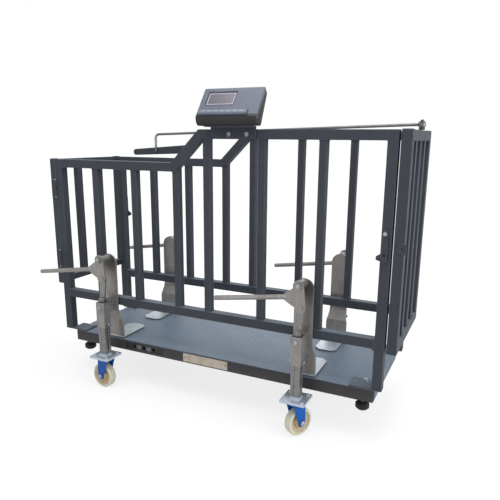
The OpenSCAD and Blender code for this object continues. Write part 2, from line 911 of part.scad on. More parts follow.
module indicator_cover() {
    color([0.45, 0.50, 0.58]) difference() {
        intersection() {
            ind_body(0);
            ind_front();
        }
        ind_body(case_t);
        on_face() translate([screen_x, screen_up_share * face_len - screen_h / 2, -screen_t])
            cube([screen_w, screen_h, screen_t + over]);
        on_face() translate([keys_x, keys_up_share * face_len - keys_h / 2, -screen_t])
            cube([keys_w, keys_h, screen_t + over]);
    }
}

module display_window() {
    color([0.35, 0.28, 0.30]) on_face()
        translate([screen_x, screen_up_share * face_len - screen_h / 2, -screen_t])
            cube([screen_w, screen_h, screen_t]);
}

module keypad() {
    color([0.35, 0.40, 0.48]) on_face()
        translate([keys_x, keys_up_share * face_len - keys_h / 2, -screen_t])
            cube([keys_w, keys_h, screen_t]);
}

ind_bolt_shares = [-0.08, 0.31];
ind_bolt_x = ind_bolt_shares * ind_plate_w;
ind_bolt_r = 5;

module indicator_bracket() {
    front = fence_y0 - ind_plate_t;
    shelf_front = ind_y + case_points[0][0];
    color(slate) difference() {
        union() {
            box([ind_x - ind_plate_w / 2, front, high_top - ind_plate_h],
                [ind_x + ind_plate_w / 2, fence_y0, ind_z - ind_plate_t]);
            box([ind_x - ind_plate_w / 2, shelf_front, ind_z - ind_plate_t],
                [ind_x + ind_plate_w / 2, fence_y0, ind_z]);
        }
        for (x = ind_bolt_x)
            translate([ind_x + x, fence_y0 + over, high_top - post_s / 2]) rotate([90, 0, 0])
                cylinder(r = ind_bolt_r + pin_clear, h = ind_plate_t + 2 * over);
    }
}

module bracket_bolts() {
    color(zinc)
        for (x = ind_bolt_x)
            translate([ind_x + x, fence_y0, high_top - post_s / 2]) rotate([90, 0, 0]) {
                cylinder(r = ind_bolt_r, h = ind_plate_t);
                translate([0, 0, ind_plate_t]) cylinder(r = 2 * ind_bolt_r, h = ind_bolt_r, $fn = 6);
            }
}

// Jacks: drawn at the front with the leg's centre line at X zero, mirrored for the back
jack_entry_x = deck_x0 + jack_entry_in;
jack_exit_x = deck_x1 - jack_exit_in;
plate_gap = 6;
riser_in = 2;
riser_y = deck_y0 + riser_in;
plate_y = fence_y0 - plate_gap - bracket_t;
leg_y = fence_y0 - leg_out;
bend_low = 96;
bend_high = 150;
taper_low = 84;
taper_high = 130;
plate_top_up = 15;
bracket_foot_y = riser_y + bracket_foot_len;
bracket_chamfer = 22;
bracket_hole_in = 26;
leg_clear = 0.3;
sleeve_in = leg_s + 2 * leg_clear;
sleeve_s = sleeve_in + 2 * sleeve_wall;
standoff_h = 24;
pin_r = 8;
boss_d = 30;
link_t = 10;
lever_plate_t = 8;
link_y = leg_y - link_t / 2;
lever_plate_y = link_y - face_clear - lever_plate_t;
crank_pin = crank * [sin(crank_lead), -cos(crank_lead)];
leg_pin_z = pivot_z + crank_pin[1] - sqrt(link_len * link_len - crank_pin[0] * crank_pin[0]);
link_r = 13;
guide_pin_r = 4;
guide_pin_up = 12;

// Places something at all four jacks, or at one of them
module at_jacks() {
    both_sides()
        for (x = [jack_entry_x, jack_exit_x])
            translate([x, 0, 0]) children();
}

module at_jack(end, side) {
    mirror([0, side == "back" ? 1 : 0, 0])
        translate([end == "entry" ? jack_entry_x : jack_exit_x, 0, 0]) children();
}

// The bent bracket from its side, in Y and Z
module bracket_side() {
    polygon([[riser_y, 0], [riser_y, bend_low], [plate_y, bend_high], [plate_y, pivot_z + plate_top_up],
             [plate_y + bracket_t, pivot_z + plate_top_up], [plate_y + bracket_t, bend_high],
             [riser_y + bracket_t, bend_low], [riser_y + bracket_t, bracket_t],
             [bracket_foot_y, bracket_t], [bracket_foot_y, 0]]);
}

// The bracket from the front: a wide riser, a narrower plate and a round top
module bracket_front() {
    w = bracket_wid / 2;
    t = bracket_top_wid / 2;
    round_z = pivot_z + plate_top_up - t;
    polygon([[-w, -over], [-w, taper_low], [-t, taper_high], [-t, round_z],
             [t, round_z], [t, taper_high], [w, taper_low], [w, -over]]);
    translate([0, round_z]) circle(t);
}

module jack_bracket() {
    w = bracket_wid / 2;
    c = bracket_chamfer;
    difference() {
        intersection() {
            translate([-bracket_wid, 0, 0]) rotate([90, 0, 90])
                linear_extrude(2 * bracket_wid) bracket_side();
            upright(plate_y - over, bracket_foot_len + leg_out) bracket_front();
        }
        for (side = [0, 1]) mirror([side, 0, 0])
            translate([0, 0, -over]) linear_extrude(bracket_t + 2 * over)
                polygon([[w - c, bracket_foot_y + over], [w - c, bracket_foot_y],
                         [w, bracket_foot_y - c], [w + over, bracket_foot_y - c],
                         [w + over, bracket_foot_y + over]]);
        translate([0, bracket_foot_y - bracket_hole_in, -over])
            cylinder(r = bolt_r + pin_clear, h = bracket_t + 2 * over);
    }
}

// The pivot boss and its pin, welded to the bracket's plate
module jack_pivot() {
    out = plate_y - lever_plate_y;
    translate([0, plate_y, pivot_z]) rotate([90, 0, 0]) {
        cylinder(d = boss_d, h = out - lever_plate_t - face_clear);
        translate([0, 0, out - lever_plate_t - face_clear])
            cylinder(r = pin_r, h = lever_plate_t + 2 * face_clear);
        translate([0, 0, out + face_clear]) cylinder(r = 2 * pin_r, h = pin_r, $fn = 6);
    }
}

module jack_brackets() {
    color(steel) at_jacks() {
        jack_bracket();
        jack_pivot();
    }
}

module jack_sleeve() {
    top = sleeve_bottom + sleeve_len;
    half = sleeve_s / 2;
    difference() {
        tube_box([-half, leg_y - half, sleeve_bottom], [half, leg_y + half, top], sleeve_wall, 2);
        translate([-sleeve_s, leg_y, sleeve_bottom + guide_pin_up]) rotate([0, 90, 0])
            cylinder(r = guide_pin_r, h = 2 * sleeve_s);
    }
    for (z = [bend_high, top - standoff_h])
        box([-half, leg_y + half, z], [half, plate_y, z + standoff_h]);
    translate([-sleeve_s / 2 - 2 * guide_pin_r, leg_y, sleeve_bottom + guide_pin_up]) rotate([0, 90, 0])
        cylinder(r = guide_pin_r, h = sleeve_s + 4 * guide_pin_r);
}

module jack_sleeves() {
    color(steel) at_jacks() jack_sleeve();
}

// The hand lever: a head plate with the crank pin, and a round bar as its handle
head_r = 22;
root_r = 13;
root_shares = [-0.168, -0.130];
root_at = root_shares * handle_reach;
neck_shares = [-0.2, -0.07];
heel_shares = [-0.28, -0.93];
inner_shares = [0, -1.05];
neck_h = 18;
root_in = 14;
handle_y = lever_plate_y + lever_plate_t / 2;

module jack_lever() {
    end = [-handle_reach, 0, -handle_drop];
    root = [root_at[0] + root_in, 0, root_at[1]];
    translate([0, handle_y, pivot_z]) {
        difference() {
            union() {
                upright(-lever_plate_t / 2, lever_plate_t) {
                    strap([0, 0], head_r, crank_pin, head_r);
                    polygon([neck_shares * crank, root_at + [0, neck_h / 2], root_at - [0, neck_h / 2],
                             heel_shares * crank, inner_shares * crank]);
                }
                chamfered_bar(root, end, handle_d);
            }
            rotate([90, 0, 0]) translate([0, 0, -handle_d])
                cylinder(r = pin_r + pin_clear, h = 2 * handle_d);
        }
        translate([crank_pin[0], lever_plate_t / 2, crank_pin[1]]) rotate([-90, 0, 0])
            cylinder(r = pin_r, h = face_clear + link_t);
        translate([crank_pin[0], -lever_plate_t / 2, crank_pin[1]]) rotate([90, 0, 0])
            cylinder(r = pin_r + pin_r / 2, h = pin_r / 2);
    }
}

module jack_link() {
    difference() {
        translate([0, 0, pivot_z]) upright(link_y, link_t)
            strap(crank_pin, link_r + pin_r / 2, [0, leg_pin_z - pivot_z], link_r);
        translate([crank_pin[0], link_y - over, pivot_z + crank_pin[1]]) rotate([-90, 0, 0])
            cylinder(r = pin_r + pin_clear, h = link_t + 2 * over);
        translate([0, link_y - over, leg_pin_z]) rotate([-90, 0, 0])
            cylinder(r = pin_r + pin_clear, h = link_t + 2 * over);
    }
}

// The sliding leg: a slotted tube with two lugs for the link, and the caster's plates at its foot
lug_t = 6;
lug_w = 30;
lug_reach = 54;
lug_up = 16;
cap_t = 5;
foot_plate_z = caster_h - floor_drop;
leg_bottom = foot_plate_z + plate_t;
leg_top = leg_pin_z - lug_reach - cap_t;
plate_bolt_in = 15;
plate_bolt_r = 4;
head_cup_r = 30;
head_cup_h = 14;

module jack_leg() {
    half = leg_s / 2;
    slot_low = sleeve_bottom + guide_pin_up - leg_travel;
    slot_r = guide_pin_r + leg_clear;
    difference() {
        tube_box([-half, leg_y - half, leg_bottom], [half, leg_y + half, leg_top], leg_wall, 2);
        box([-leg_s, leg_y - slot_r, slot_low], [leg_s, leg_y + slot_r, sleeve_bottom + guide_pin_up]);
        for (z = [slot_low, sleeve_bottom + guide_pin_up])
            translate([-leg_s, leg_y, z]) rotate([0, 90, 0]) cylinder(r = slot_r, h = 2 * leg_s);
    }
    box([-half, leg_y - half, leg_top], [half, leg_y + half, leg_top + cap_t]);
    for (side = [-1, 1])
        translate([0, leg_y + side * (link_t / 2 + face_clear + lug_t / 2), 0]) {
            upright(-lug_t / 2, lug_t) {
                translate([-lug_w / 2, leg_top + cap_t]) square([lug_w, leg_pin_z - leg_top - cap_t]);
                translate([0, leg_pin_z]) circle(lug_w / 2);
            }
            translate([0, side * lug_t / 2, leg_pin_z]) rotate([-side * 90, 0, 0])
                cylinder(r = pin_r, h = pin_r / 2, $fn = 6);
        }
    for (z = [foot_plate_z, foot_plate_z - plate_t])
        difference() {
            box([-plate_s / 2, leg_y - plate_s / 2, z], [plate_s / 2, leg_y + plate_s / 2, z + plate_t]);
            at_plate_bolts() translate([0, 0, z - over]) cylinder(r = plate_bolt_r, h = plate_t + 2 * over);
        }
    at_plate_bolts() {
        translate([0, 0, foot_plate_z - 2 * plate_t]) cylinder(r = plate_bolt_r, h = 4 * plate_t);
        for (z = [leg_bottom, foot_plate_z - 2 * plate_t])
            difference() {
                translate([0, 0, z]) cylinder(r = 2 * plate_bolt_r, h = plate_t, $fn = 6);
                translate([0, 0, z - over]) cylinder(r = plate_bolt_r, h = plate_t + 2 * over);
            }
    }
    translate([0, leg_y, foot_plate_z - plate_t - head_cup_h]) cylinder(r = head_cup_r, h = head_cup_h);
}

module at_plate_bolts() {
    reach = plate_s / 2 - plate_bolt_in;
    for (x = [-reach, reach], y = [-reach, reach])
        translate([x, leg_y + y, 0]) children();
}

// Casters: a swivelling yoke and its wheel, turned about the leg's centre line
axle_z = wheel_d / 2 - floor_drop;
yoke_top = foot_plate_z - plate_t - head_cup_h - face_clear;
yoke_in = 23;
yoke_w = 56;
yoke_r = 17;

module turned(angle) {
    translate([0, leg_y, 0]) rotate([0, 0, angle]) children();
}

module caster_yoke() {
    reach = yoke_in + yoke_t;
    top_z = yoke_top - yoke_t;
    difference() {
        union() {
            box([-yoke_w / 2, -reach, top_z], [yoke_w / 2, reach, yoke_top]);
            for (side = [-1, 1])
                translate([0, side * (yoke_in + yoke_t / 2), 0])
                    upright(-yoke_t / 2, yoke_t) {
                        polygon([[-yoke_w / 2, top_z], [yoke_w / 2, top_z],
                                 [trail + yoke_r, axle_z], [trail - yoke_r, axle_z]]);
                        translate([trail, axle_z]) circle(yoke_r);
                    }
        }
        translate([trail, reach + over, axle_z]) rotate([90, 0, 0])
            cylinder(r = axle_r, h = 2 * reach + 2 * over);
    }
    translate([trail, 0, axle_z]) rotate([90, 0, 0]) {
        translate([0, 0, -reach]) cylinder(r = axle_r, h = 2 * reach);
        for (z = [-reach - axle_r, reach])
            translate([0, 0, z]) cylinder(r = 2 * axle_r, h = axle_r, $fn = 6);
    }
}

hub_gap = 1;
hub_half = yoke_in - hub_gap;
hub_r = 22;
rim_share = 0.82;
web_half = 9;
round_in = 5;

// Half of the wheel's section: hub, dished web and rounded tread
module wheel_section() {
    w = wheel_w / 2;
    r = wheel_d / 2;
    bore = axle_r + pin_clear;
    polygon([[bore, -hub_half], [hub_r, -hub_half], [hub_r + round_in, -web_half],
             [rim_share * r - round_in, -web_half], [rim_share * r, -w], [r - round_in, -w],
             [r, round_in - w], [r, w - round_in], [r - round_in, w], [rim_share * r, w],
             [rim_share * r - round_in, web_half],
             [hub_r + round_in, web_half], [hub_r, hub_half], [bore, hub_half]]);
}

module caster_wheel() {
    translate([trail, 0, axle_z]) rotate([90, 0, 0]) rotate_extrude($fn = 96) wheel_section();
}

// Swivel angles of the casters, as they stand
turn_fl = 175;
turn_fr = 59;
turn_bl = 160;
turn_br = 35;

module jack_lever_fl() { color(steel) at_jack("entry", "front") jack_lever(); }
module jack_lever_fr() { color(steel) at_jack("exit", "front") jack_lever(); }
module jack_lever_bl() { color(steel) at_jack("entry", "back") jack_lever(); }
module jack_lever_br() { color(steel) at_jack("exit", "back") jack_lever(); }
module jack_link_fl() { color(steel) at_jack("entry", "front") jack_link(); }
module jack_link_fr() { color(steel) at_jack("exit", "front") jack_link(); }
module jack_link_bl() { color(steel) at_jack("entry", "back") jack_link(); }
module jack_link_br() { color(steel) at_jack("exit", "back") jack_link(); }
module jack_leg_fl() { color(zinc) at_jack("entry", "front") jack_leg(); }
module jack_leg_fr() { color(zinc) at_jack("exit", "front") jack_leg(); }
module jack_leg_bl() { color(zinc) at_jack("entry", "back") jack_leg(); }
module jack_leg_br() { color(zinc) at_jack("exit", "back") jack_leg(); }
module caster_yoke_fl() { color(blue) at_jack("entry", "front") turned(turn_fl) caster_yoke(); }
module caster_yoke_fr() { color(blue) at_jack("exit", "front") turned(turn_fr) caster_yoke(); }
module caster_yoke_bl() { color(blue) at_jack("entry", "back") turned(turn_bl) caster_yoke(); }
module caster_yoke_br() { color(blue) at_jack("exit", "back") turned(turn_br) caster_yoke(); }
module caster_wheel_fl() { color(cream) at_jack("entry", "front") turned(turn_fl) caster_wheel(); }
module caster_wheel_fr() { color(cream) at_jack("exit", "front") turned(turn_fr) caster_wheel(); }
module caster_wheel_bl() { color(cream) at_jack("entry", "back") turned(turn_bl) caster_wheel(); }
module caster_wheel_br() { color(cream) at_jack("exit", "back") turned(turn_br) caster_wheel(); }

deck_plate();
platform_channels();
platform_ribs();
load_cells();
rubber_feet();
foot_studs();
junction_box();
name_plate();
plate_rivets();
corner_posts();
panel_rails();
panel_bars();
post_feet();
deck_bolts();
gate_frame();
gate_bars();
gate_straps();
gate_latch_arm();
gate_keeper();
door_frame();
door_bars();
door_straps();
door_latch_arm();
door_keeper();
hinge_leaves();
hinge_pins();
latch_bolts();
lever_bracket();
lever_bolt();
door_lever();
door_rod();
rod_end_bolt();
indicator_base();
indicator_cover();
display_window();
keypad();
indicator_bracket();
bracket_bolts();
jack_brackets();
jack_sleeves();
jack_lever_fl();
jack_lever_fr();
jack_lever_bl();
jack_lever_br();
jack_link_fl();
jack_link_fr();
jack_link_bl();
jack_link_br();
jack_leg_fl();
jack_leg_fr();
jack_leg_bl();
jack_leg_br();
caster_yoke_fl();
caster_yoke_fr();
caster_yoke_bl();
caster_yoke_br();
caster_wheel_fl();
caster_wheel_fr();
caster_wheel_bl();
caster_wheel_br();
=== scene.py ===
import json
import math

import bmesh
import bpy
from mathutils import Matrix, Vector


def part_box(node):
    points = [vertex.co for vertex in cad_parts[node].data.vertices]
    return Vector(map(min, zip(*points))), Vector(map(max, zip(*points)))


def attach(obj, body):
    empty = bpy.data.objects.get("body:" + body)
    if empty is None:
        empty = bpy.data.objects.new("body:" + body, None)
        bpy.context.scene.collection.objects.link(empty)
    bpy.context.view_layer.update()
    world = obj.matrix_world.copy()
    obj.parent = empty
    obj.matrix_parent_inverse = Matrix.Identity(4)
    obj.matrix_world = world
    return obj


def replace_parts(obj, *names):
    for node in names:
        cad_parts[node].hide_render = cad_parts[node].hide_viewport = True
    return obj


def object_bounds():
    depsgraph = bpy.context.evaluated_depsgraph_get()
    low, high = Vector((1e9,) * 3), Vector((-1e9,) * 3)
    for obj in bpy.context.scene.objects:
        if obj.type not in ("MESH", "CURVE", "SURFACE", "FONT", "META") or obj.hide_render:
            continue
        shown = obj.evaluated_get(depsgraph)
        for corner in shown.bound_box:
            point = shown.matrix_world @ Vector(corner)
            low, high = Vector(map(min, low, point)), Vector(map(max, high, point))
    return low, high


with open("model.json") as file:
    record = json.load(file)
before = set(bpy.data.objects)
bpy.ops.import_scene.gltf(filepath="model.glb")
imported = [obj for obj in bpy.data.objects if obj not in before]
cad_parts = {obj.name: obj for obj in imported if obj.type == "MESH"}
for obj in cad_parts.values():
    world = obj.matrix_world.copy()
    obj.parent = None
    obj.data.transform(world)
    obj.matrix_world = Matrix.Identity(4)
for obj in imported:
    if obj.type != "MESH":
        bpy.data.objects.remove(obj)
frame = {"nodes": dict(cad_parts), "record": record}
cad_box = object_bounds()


# WEIGHING DECK
# One sheet of steel tread plate under blue-grey enamel. Lozenges rolled into the sheet stand 1 mm high
# in two crossing directions, and hooves have rubbed the paint on them paler than in the lows between.

def linear(hex_colour):
    """An sRGB hex colour as linear red, green, blue and alpha."""
    parts = [int(hex_colour[i:i + 2], 16) / 255 for i in (1, 3, 5)]
    return (*[c / 12.92 if c <= 0.04045 else ((c + 0.055) / 1.055) ** 2.4 for c in parts], 1.0)


def add(tree, kind, inputs=(), **settings):
    """Adds a node with its settings; each input, by name or number, is a value or another node's socket.

    A colour Mix takes its two colours at 6 and 7 and gives their mix at 2. A Map Range takes the ends of
    the range that it reads at 1 and 2, and the ends of the range that it gives at 3 and 4.
    """
    made = tree.nodes.new(kind)
    for name, value in settings.items():
        setattr(made, name, value)
    for key, value in dict(inputs).items():
        if isinstance(value, bpy.types.NodeSocket):
            tree.links.new(value, made.inputs[key])
        else:
            made.inputs[key].default_value = value
    return made


def new_finish(name):
    """A material, its empty tree, and the place on the object that its patterns follow."""
    material = bpy.data.materials.new(name)
    material.use_nodes = True
    tree = material.node_tree
    tree.nodes.clear()
    return material, tree, add(tree, "ShaderNodeTexCoord").outputs["Object"]


def coat(material, *names):
    """Gives CAD nodes a material."""
    for name in names:
        slots = frame["nodes"][name].data.materials
        slots.clear()
        slots.append(material)


def new_object(name, data):
    """An object for a mesh, a lamp or a camera, in the scene."""
    made = bpy.data.objects.new(name, data)
    bpy.context.scene.collection.objects.link(made)
    return made


def new_piece(name, mesh, body):
    """An object for a finished mesh, riding on a body."""
    piece = new_object(name, mesh)
    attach(piece, body)
    return piece


def as_mesh(shape, *materials):
    """The mesh of a finished shape, with its materials."""
    mesh = bpy.data.meshes.new("piece")
    shape.to_mesh(mesh)
    shape.free()
    for material in materials:
        mesh.materials.append(material)
    return mesh


def skinned(rings, closed=False):
    """A shape through rings of points; its ends are filled, or, if closed, the last ring joins the first."""
    shape = bmesh.new()
    loops = [[shape.verts.new(p) for p in ring] for ring in rings]
    count = len(loops[0])
    for one, two in zip(loops, loops[1:] + loops[:1] if closed else loops[1:]):
        for i in range(count):
            shape.faces.new((one[i], one[(i + 1) % count], two[(i + 1) % count], two[i]))
    if not closed:
        shape.faces.new(loops[0])
        shape.faces.new(loops[-1])
    bmesh.ops.recalc_face_normals(shape, faces=shape.faces)
    return shape


def evaluated(piece):
    """The plain mesh that an object's modifiers make; the object is then removed."""
    bpy.context.view_layer.update()
    made = bpy.data.meshes.new_from_object(piece.evaluated_get(bpy.context.evaluated_depsgraph_get()))
    piece.modifiers.clear()
    bpy.data.objects.remove(piece)
    return made


def grown(mesh, tree, **sizes):
    """The plain mesh that a geometry tree makes from a starting mesh, with its inputs set by name."""
    start = new_object("start", mesh)
    step = start.modifiers.new("grow", "NODES")
    step.node_group = tree
    for item in tree.interface.items_tree:
        if item.item_type == "SOCKET" and item.in_out == "INPUT" and item.name in sizes:
            step[item.identifier] = sizes[item.name]
    return evaluated(start)


def new_geometry_tree(name, **inputs):
    """An empty geometry tree with a geometry in and out, and named inputs with their socket kinds."""
    tree = bpy.data.node_groups.new(name, "GeometryNodeTree")
    tree.interface.new_socket("Geometry", in_out="INPUT", socket_type="NodeSocketGeometry")
    tree.interface.new_socket("Geometry", in_out="OUTPUT", socket_type="NodeSocketGeometry")
    for label, kind in inputs.items():
        tree.interface.new_socket(label, in_out="INPUT", socket_type=kind)
    return tree


# Satin enamel: brushed on, so its sheen is uneven; dust and scuffs lie in patches of a hand's width.
deck_enamel, tree, place = new_finish("satin enamel on tread plate")
patches = add(tree, "ShaderNodeTexNoise", {"Vector": place, "Scale": 1 / 0.11, "Detail": 6, "Roughness": 0.6})
stretched = add(tree, "ShaderNodeMapping", {"Vector": place, "Scale": (1, 5, 1)})
scuffs = add(tree, "ShaderNodeTexNoise", {"Vector": stretched.outputs[0], "Scale": 1 / 0.05, "Detail": 4})
height = add(tree, "ShaderNodeSeparateXYZ", {0: place}).outputs["Z"]
rubbed = add(tree, "ShaderNodeMapRange", {0: height, 1: 0.0003, 2: 0.0010})
patch_share = add(tree, "ShaderNodeMapRange", {0: patches.outputs[0], 1: 0.32, 2: 0.70})
blue = add(tree, "ShaderNodeMix", {0: patch_share.outputs[0], 6: linear("#616e7d"), 7: linear("#6d7b8b")},
           data_type="RGBA")
scuff_share = add(tree, "ShaderNodeMapRange", {0: scuffs.outputs[0], 1: 0.58, 2: 0.80, 4: 0.4})
scuffed = add(tree, "ShaderNodeMix", {0: scuff_share.outputs[0], 6: blue.outputs[2], 7: linear("#7f8c98")},
              data_type="RGBA")
rub_share = add(tree, "ShaderNodeMath", {0: rubbed.outputs[0], 1: 0.42}, operation="MULTIPLY")
worn = add(tree, "ShaderNodeMix", {0: rub_share.outputs[0], 6: scuffed.outputs[2], 7: linear("#8693a1")},
           data_type="RGBA")
sheen = add(tree, "ShaderNodeMapRange", {0: patches.outputs[0], 1: 0.3, 2: 0.7, 3: 0.38, 4: 0.56})
grit = add(tree, "ShaderNodeTexNoise", {"Vector": place, "Scale": 1 / 0.004, "Detail": 2})
skin = add(tree, "ShaderNodeBump", {"Height": grit.outputs[0], "Strength": 0.12, "Distance": 0.0004})
shader = add(tree, "ShaderNodeBsdfPrincipled", {
    "Base Color": worn.outputs[2], "Roughness": sheen.outputs[0], "Normal": skin.outputs[0], "IOR": 1.5,
    "Specular IOR Level": 0.35})
add(tree, "ShaderNodeOutputMaterial", {0: shader.outputs[0]})
coat(deck_enamel, "deck_plate")

# One lozenge is a low roof with a flat ridge. Its outlines are shares of half its length and half its width.
lozenge_length, lozenge_width, lozenge_height = 0.025, 0.0065, 0.0010
foot_shares = [(-1, 0), (-0.45, -1), (0.45, -1), (1, 0), (0.45, 1), (-0.45, 1)]
ridge_shares = [(-0.72, 0), (-0.35, -0.5), (0.35, -0.5), (0.72, 0), (0.35, 0.5), (-0.35, 0.5)]
lozenge = skinned([[(a * lozenge_length / 2, b * lozenge_width / 2, z) for a, b in shares]
                   for shares, z in ((foot_shares, 0.0), (ridge_shares, lozenge_height))])
lozenge_source = new_object("lozenge", as_mesh(lozenge))

# Two grids of lozenges cross on the deck, which stays plain under the post feet and the jack brackets.
lozenge_pitch, lozenge_margin, lozenge_turn, plain_margin = 0.034, 0.017, 0.785, 0.012
deck_low, deck_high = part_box("deck_plate")
columns = int((deck_high.x - deck_low.x - 2 * lozenge_margin) / lozenge_pitch)
rows = int((deck_high.y - deck_low.y - 2 * lozenge_margin) / lozenge_pitch)
tree = new_geometry_tree("tread", Lozenge="NodeSocketObject", Finish="NodeSocketMaterial",
                         Feet="NodeSocketObject", Brackets="NodeSocketObject", Bare="NodeSocketFloat")
given = add(tree, "NodeGroupInput")
shape = add(tree, "GeometryNodeObjectInfo", {0: given.outputs["Lozenge"]})
covers = add(tree, "GeometryNodeJoinGeometry")
for cover in ("Feet", "Brackets"):
    covering = add(tree, "GeometryNodeObjectInfo", {0: given.outputs[cover]})
    tree.links.new(covering.outputs["Geometry"], covers.inputs[0])
away = add(tree, "GeometryNodeProximity", {0: covers.outputs[0]})
under = add(tree, "FunctionNodeCompare", {0: away.outputs["Distance"], 1: given.outputs["Bare"]},
            operation="LESS_THAN")
both = add(tree, "GeometryNodeJoinGeometry")
for turn, shift in ((lozenge_turn, -0.25 * lozenge_pitch), (-lozenge_turn, 0.25 * lozenge_pitch)):
    grid = add(tree, "GeometryNodeMeshGrid", {
        0: (columns - 1) * lozenge_pitch, 1: (rows - 1) * lozenge_pitch, 2: columns, 3: rows})
    moved = add(tree, "GeometryNodeTransform", {
        0: grid.outputs[0], "Translation": (shift, shift, deck_high.z)})
    clear = add(tree, "GeometryNodeDeleteGeometry", {0: moved.outputs[0], "Selection": under.outputs[0]})
    rolled = add(tree, "GeometryNodeInstanceOnPoints", {
        0: clear.outputs[0], "Instance": shape.outputs["Geometry"], "Rotation": (0, 0, turn)})
    tree.links.new(rolled.outputs[0], both.inputs[0])
real = add(tree, "GeometryNodeRealizeInstances", {0: both.outputs[0]})
dressed = add(tree, "GeometryNodeSetMaterial", {0: real.outputs[0], "Material": given.outputs["Finish"]})
add(tree, "NodeGroupOutput", {0: dressed.outputs[0]})
tread = grown(bpy.data.meshes.new("deck"), tree, Lozenge=lozenge_source, Finish=deck_enamel,
              Feet=frame["nodes"]["post_feet"], Brackets=frame["nodes"]["jack_brackets"], Bare=plain_margin)
bpy.data.objects.remove(lozenge_source)
new_piece("tread_lozenges", tread, "crate")


# PLATFORM UNDER THE DECK
# Folded steel channels and cross ribs, welded together and painted dark, with dust on the lower half.
# The load cells and studs beneath are zinc plated, and the feet are moulded rubber.

def rubbed_edges(tree, radius, strongest, samples=4):
    """The normals of edges rounded to a radius, and how far they are rubbed, from 0 to the strongest."""
    rounded = add(tree, "ShaderNodeBevel", {"Radius": radius}, samples=samples).outputs[0]
    flat = add(tree, "ShaderNodeNewGeometry").outputs["Normal"]
    facing = add(tree, "ShaderNodeVectorMath", {0: rounded, 1: flat}, operation="DOT_PRODUCT")
    rub = add(tree, "ShaderNodeMapRange", {
        0: facing.outputs["Value"], 1: 0.97, 2: 0.80, 3: 0.0, 4: strongest})
    return rounded, rub.outputs[0]


# Dark enamel: a thin coat over folded steel; the folds rub through first. The blue-grey of the deck was
# brushed down over the two ends.
platform_enamel, tree, place = new_finish("dark enamel on folded steel")
blotches = add(tree, "ShaderNodeTexNoise", {
    "Vector": place, "Scale": 1 / 0.08, "Detail": 5, "Roughness": 0.62})
axes = add(tree, "ShaderNodeSeparateXYZ", {0: place})
low_down = add(tree, "ShaderNodeMapRange", {0: axes.outputs["Z"], 1: -0.010, 2: -0.054, 3: 0.0, 4: 0.45})
base = add(tree, "ShaderNodeMix", {0: blotches.outputs[0], 6: linear("#2f2d31"), 7: linear("#3e3b3f")},
           data_type="RGBA")
dusty = add(tree, "ShaderNodeMath", {0: low_down.outputs[0], 1: blotches.outputs[0]}, operation="MULTIPLY")
dusted = add(tree, "ShaderNodeMix", {0: dusty.outputs[0], 6: base.outputs[2], 7: linear("#58524d")},
             data_type="RGBA")
rounded_edge, rub = rubbed_edges(tree, radius=0.003, strongest=0.5)
worn = add(tree, "ShaderNodeMix", {0: rub, 6: dusted.outputs[2], 7: linear("#6b696c")}, data_type="RGBA")
from_middle = add(tree, "ShaderNodeMath", {0: axes.outputs["X"]}, operation="ABSOLUTE")
end_share = add(tree, "ShaderNodeMapRange", {
    0: from_middle.outputs[0], 1: deck_high.x - 0.0015, 2: deck_high.x - 0.0005})
ends_blue = add(tree, "ShaderNodeMix", {0: end_share.outputs[0], 6: worn.outputs[2], 7: linear("#4e5a69")},
                data_type="RGBA")
sheen = add(tree, "ShaderNodeMapRange", {0: blotches.outputs[0], 1: 0.3, 2: 0.7, 3: 0.40, 4: 0.62})
shader = add(tree, "ShaderNodeBsdfPrincipled", {
    "Base Color": ends_blue.outputs[2], "Roughness": sheen.outputs[0], "Normal": rounded_edge, "IOR": 1.5,
    "Specular IOR Level": 0.25})
add(tree, "ShaderNodeOutputMaterial", {0: shader.outputs[0]})
coat(platform_enamel, "platform_channels", "platform_ribs")

# Bright zinc plating: a cool silver skin with a faint crystal spangle and dull spots where it has aged.
bright_zinc, tree, place = new_finish("bright zinc plating")
spangle = add(tree, "ShaderNodeTexVoronoi", {"Vector": place, "Scale": 1 / 0.006})
age = add(tree, "ShaderNodeTexNoise", {"Vector": place, "Scale": 1 / 0.03, "Detail": 5})
tone = add(tree, "ShaderNodeMix", {
    0: spangle.outputs["Distance"], 6: linear("#a9b0b8"), 7: linear("#8f969e")}, data_type="RGBA")
aged_share = add(tree, "ShaderNodeMapRange", {0: age.outputs[0], 1: 0.45, 2: 0.75, 4: 0.6})
aged = add(tree, "ShaderNodeMix", {0: aged_share.outputs[0], 6: tone.outputs[2], 7: linear("#7b7c7c")},
           data_type="RGBA")
sheen = add(tree, "ShaderNodeMapRange", {0: age.outputs[0], 1: 0.3, 2: 0.75, 3: 0.26, 4: 0.5})
rounded_edge = add(tree, "ShaderNodeBevel", {"Radius": 0.0008}, samples=4)
shader = add(tree, "ShaderNodeBsdfPrincipled", {
    "Base Color": aged.outputs[2], "Metallic": 1.0, "Roughness": sheen.outputs[0],
    "Normal": rounded_edge.outputs[0]})
add(tree, "ShaderNodeOutputMaterial", {0: shader.outputs[0]})
coat(bright_zinc, "load_cells", "foot_studs", "deck_bolts", "hinge_pins", "latch_bolts")


